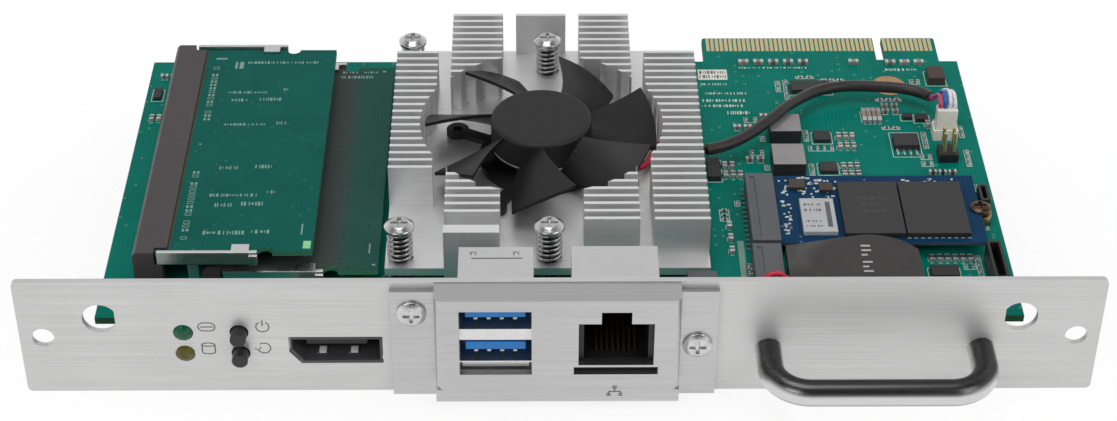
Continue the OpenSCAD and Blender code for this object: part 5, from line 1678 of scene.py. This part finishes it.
@dataclass
class Drive(Assembly):
    """Drive board, its socket, standoff and screw, and the spare card socket."""

    dressed: Rows = (
        ("drive_socket", Look.CARD_SOCKET, 0.12), ("card_socket", Look.CARD_SOCKET, 0.12),
        ("drive_board", Look.DRIVE, 0.06, 1), ("drive_standoff", Look.BRASS, 0.1),
        ("drive_screw", Look.COPPER, 0.08))
    pale_field: Four = (47, 27, 54.6, 39.5)
    brown_field: Four = (40, 41.5, 55, 50)
    pads: tuple[float, float, float, int] = (67.6, 1.3, 26.9, 10)
    pad: Pair = (0.8, 0.45)
    speck_sizes: tuple[Pair, Pair] = ((0.4, 0.8), (0.4, 0.5))
    speck_fields: tuple[tuple[float, float, float, float, int], ...] = (
        (43.8, 27.4, 46.4, 46.4, 30), (46.6, 39.6, 56.2, 47.2, 46), (68, 45, 80, 46.8, 8))
    label_sunk: float = 0.2
    label_strip: Four = (52.4, 29.2, 53.4, 37.6)
    label_rows: tuple[Four, ...] = (
        (48.2, 51.6, 36.6, 0.8), (48.2, 51.8, 34.8, 0.8), (48.2, 51.2, 31.2, 0.6), (48.2, 51.8, 29.6, 0.6))
    chip_rows: tuple[Four, ...] = (
        (58.6, 64.6, 38.4, 1.2), (59.6, 63.8, 36.2, 1.0), (59.2, 64.2, 34.2, 0.8))

    def print_marks(self) -> None:
        """Show the small solder pads and parts on the drive, and plain marks on its chips."""
        draw = random.Random(31)
        pads = Legend(self.top("drive_board"), rise=0.05)
        start, pitch, y, count = self.pads
        for k in range(count):
            x = start + k * pitch
            pads.bar(x, y, x + self.pad[0], y + self.pad[1])
        widths, heights = self.speck_sizes
        for x0, y0, x1, y1, many in self.speck_fields:
            for _ in range(many):
                x, y = draw.uniform(x0, x1 - widths[1]), draw.uniform(y0, y1 - heights[1])
                pads.bar(x, y, x + draw.choice(widths), y + draw.choice(heights))
        self.place(pads.cast("drive_pads"), Look.PRINT)
        level = self.top("drive_chips")
        pale = Legend(level - self.label_sunk, rise=0.02, seed=32)
        pale.fill(self.label_rows, [self.label_strip])
        self.place(pale.cast("pale_chip_marks"), Look.GREY_PRINT)
        faint = Legend(level, rise=0.02, seed=33).fill(self.chip_rows)
        self.place(faint.cast("drive_chip_marks"), Look.FAINT_CHIP_PRINT)

    def build(self) -> None:
        """Dress the boards and sockets."""
        self.print_marks()
        self.dress()
        chips = self.skin("drive_chips", Look.CHIP, 0.12)
        self.patch(chips, Look.PALE_CHIP, lambda c, n: over(c, self.pale_field))
        self.patch(chips, Look.BROWN_CHIP, lambda c, n: over(c, self.brown_field))


@dataclass
class Battery(Assembly):
    """Button cell in its sleeve, the pad under it and its two leads."""

    dressed: Rows = (("battery", Look.BATTERY, 0.6, 3), ("battery_pad", Look.PAD, 0.2))
    wire_d: float = 1.1
    routes: tuple[tuple[Point, ...], ...] = (
        ((44.6, 13.2, 4.3), (43, 13.1, 4.6), (41.6, 12.9, 5.8), (40.2, 12.7, 6.1), (38.8, 12.5, 5.3),
         (37, 12.3, 4.3), (33.6, 12.5, 3.4), (30.8, 12.9, 2.9), (29.6, 12.9, 2.9)),
        ((44.6, 11.6, 4.3), (43, 11.5, 4.6), (41.6, 11.3, 4.9), (40.2, 11.1, 4.9), (38.8, 10.9, 4.6),
         (37, 10.7, 4.0), (33.6, 10.9, 3.3), (30.8, 11.5, 2.9), (29.6, 11.5, 2.9)))
    marks: tuple[Four, ...] = (
        (57.5, 20.6, 59.4, 21.1), (57.5, 19.2, 59.4, 19.7), (57.4, 17.8, 58.6, 18.3),
        (57.4, 15.6, 59.3, 16.1), (57.3, 14.2, 58.5, 14.7), (57.3, 12.8, 59.2, 13.3))

    def build(self) -> None:
        """Dress the cell, print a column of plain bars on it and lay its leads."""
        column = Legend(self.top("battery"), rise=0.02).fill(bars=self.marks)
        self.place(column.cast("battery_marks"), Look.BATTERY_PRINT)
        self.dress()
        self.wires("battery_wire", "battery_wires", self.routes, [self.wire_d] * len(self.routes),
                   (Look.RED_WIRE, Look.BLACK_WIRE))


@dataclass
class Studio:
    """Camera at the photograph's angle, pale floor, soft lamps and a white world."""

    frame_w: int = 1117
    focal_px: float = 2328.23
    sensor: float = 36.0
    nearest: float = 0.01
    eye: Point = (-4.746, -330.403, 277.703)
    pitch: float = 0.644879
    yaw: float = 0.012707
    roll: float = 0.005464
    middle: Point = (0, 45, 0)
    floor_size: float = 8.0
    floor_tone: float = 0.92
    floor_stretch: Point = (0.55, 1, 1)
    ambient: float = 0.42
    zenith: float = 0.5
    zenith_reach: Pair = (0.1, 0.75)
    behind_camera: float = 0.1
    behind_reach: Pair = (0.55, 0.95)
    behind_lean: float = 0.6
    fade: Pair = (0.05, 0.08)
    veil: Pair = (0.85, 1.0)
    lamps: tuple[tuple[Point, float, float], ...] = (
        ((-420, -560, 600), 420, 1.6), ((480, -340, 520), 360, 1.15), ((-40, 60, 760), 420, 1.9))

    def camera(self) -> None:
        """Stand the camera where the photograph was taken from."""
        forward = Vector((math.sin(self.yaw) * math.cos(self.pitch),
                          math.cos(self.yaw) * math.cos(self.pitch), -math.sin(self.pitch)))
        level = Vector((math.cos(self.yaw), -math.sin(self.yaw), 0))
        up = level.cross(forward)
        right = math.cos(self.roll) * level + math.sin(self.roll) * up
        top = math.cos(self.roll) * up - math.sin(self.roll) * level
        data = bpy.data.cameras.new("photo_camera")
        data.sensor_fit = "HORIZONTAL"
        data.sensor_width = self.sensor
        data.lens = self.focal_px / self.frame_w * self.sensor
        data.clip_start = self.nearest
        camera = bpy.data.objects.new("photo_camera", data)
        bpy.context.scene.collection.objects.link(camera)
        turn = Matrix((right, top, -forward)).transposed()
        camera.matrix_world = Matrix.Translation(Vector(self.eye) * MM) @ turn.to_4x4()
        bpy.context.scene.camera = camera

    def floor(self, low: float) -> None:
        """Lay a pale floor that takes the shadow and fades into the white behind it.

        Args:
            low: Height of the floor in metres.
        """
        bpy.ops.object.select_all(action="DESELECT")
        bpy.ops.mesh.primitive_plane_add(size=self.floor_size, location=(0, 0, low))
        floor = Bench.settle(bpy.context.object, "floor")
        made = bpy.data.materials.new("floor_white")
        made.use_nodes = True
        s = Shader(made.node_tree)
        away = s.node("ShaderNodeVectorMath", {"operation": "LENGTH"},
                      {0: s.point(self.floor_stretch, Vector(self.middle) * -MM)}, out="Value")
        fade = s.span(away, *self.fade, self.veil) * s.span(s.ray("Camera") + s.ray("Glossy"), 0.0, 1.0)
        matt = s.node("ShaderNodeBsdfDiffuse", {}, {"Color": (*[self.floor_tone] * 3, 1)})
        white = s.node("ShaderNodeEmission", {}, {"Color": WHITE, "Strength": 1.0})
        both = s.node("ShaderNodeMixShader", {}, {0: fade, 1: matt, 2: white})
        s.node("ShaderNodeOutputMaterial", {}, {0: both})
        floor.data.materials.append(made)
        floor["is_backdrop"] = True

    def light(self) -> None:
        """Set the lamps and the world."""
        for k, (place, size, power) in enumerate(self.lamps):
            data = bpy.data.lights.new(f"softbox_{k + 1}", "AREA")
            data.shape = "SQUARE"
            data.size = size * MM
            data.energy = power
            lamp = bpy.data.objects.new(data.name, data)
            bpy.context.scene.collection.objects.link(lamp)
            lamp.location = Vector(place) * MM
            aim = Vector(self.middle) * MM - lamp.location
            lamp.rotation_euler = aim.to_track_quat("-Z", "Y").to_euler()
        world = bpy.data.worlds.new("studio")
        bpy.context.scene.world = world
        world.use_nodes = True
        s = Shader(world.node_tree)
        seen = s.ray("Camera")
        glint = s.span(s.ray("Glossy") + s.ray("Transmission"), 0.0, 1.0)
        _, depth, height = s.axes(s.node("ShaderNodeTexCoord", out="Generated"))
        mirrored = s.span(height, *self.zenith_reach, (1.0, self.zenith))
        room = s.span(height - depth * self.behind_lean, *self.behind_reach, (1.0, self.behind_camera))
        strength = seen + (1 - seen) * (glint * mirrored * room + (1 - glint) * self.ambient)
        sky = s.node("ShaderNodeBackground", {}, {"Color": WHITE, "Strength": strength})
        s.node("ShaderNodeOutputWorld", {}, {0: sky})
        bpy.context.scene.view_settings.view_transform = "Standard"


def main() -> None:
    """Build the studio and each sub-assembly, and lay the floor at the lowest point of the object as
    imported.
    """
    logging.basicConfig(level=logging.INFO, format="%(message)s")
    before = [list(corner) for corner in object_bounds()]
    studio = Studio()
    studio.camera()
    for assembly in (Fan(), FrontPanel(), PullHandle(), Indicators(), Ports(), MainBoard(), MemoryStack(),
                     Cooler(), Drive(), Battery()):
        log.info("building %s", type(assembly).__name__)
        assembly.build()
    studio.floor(before[0][2])
    studio.light()


if __name__ == "__main__":
    main()
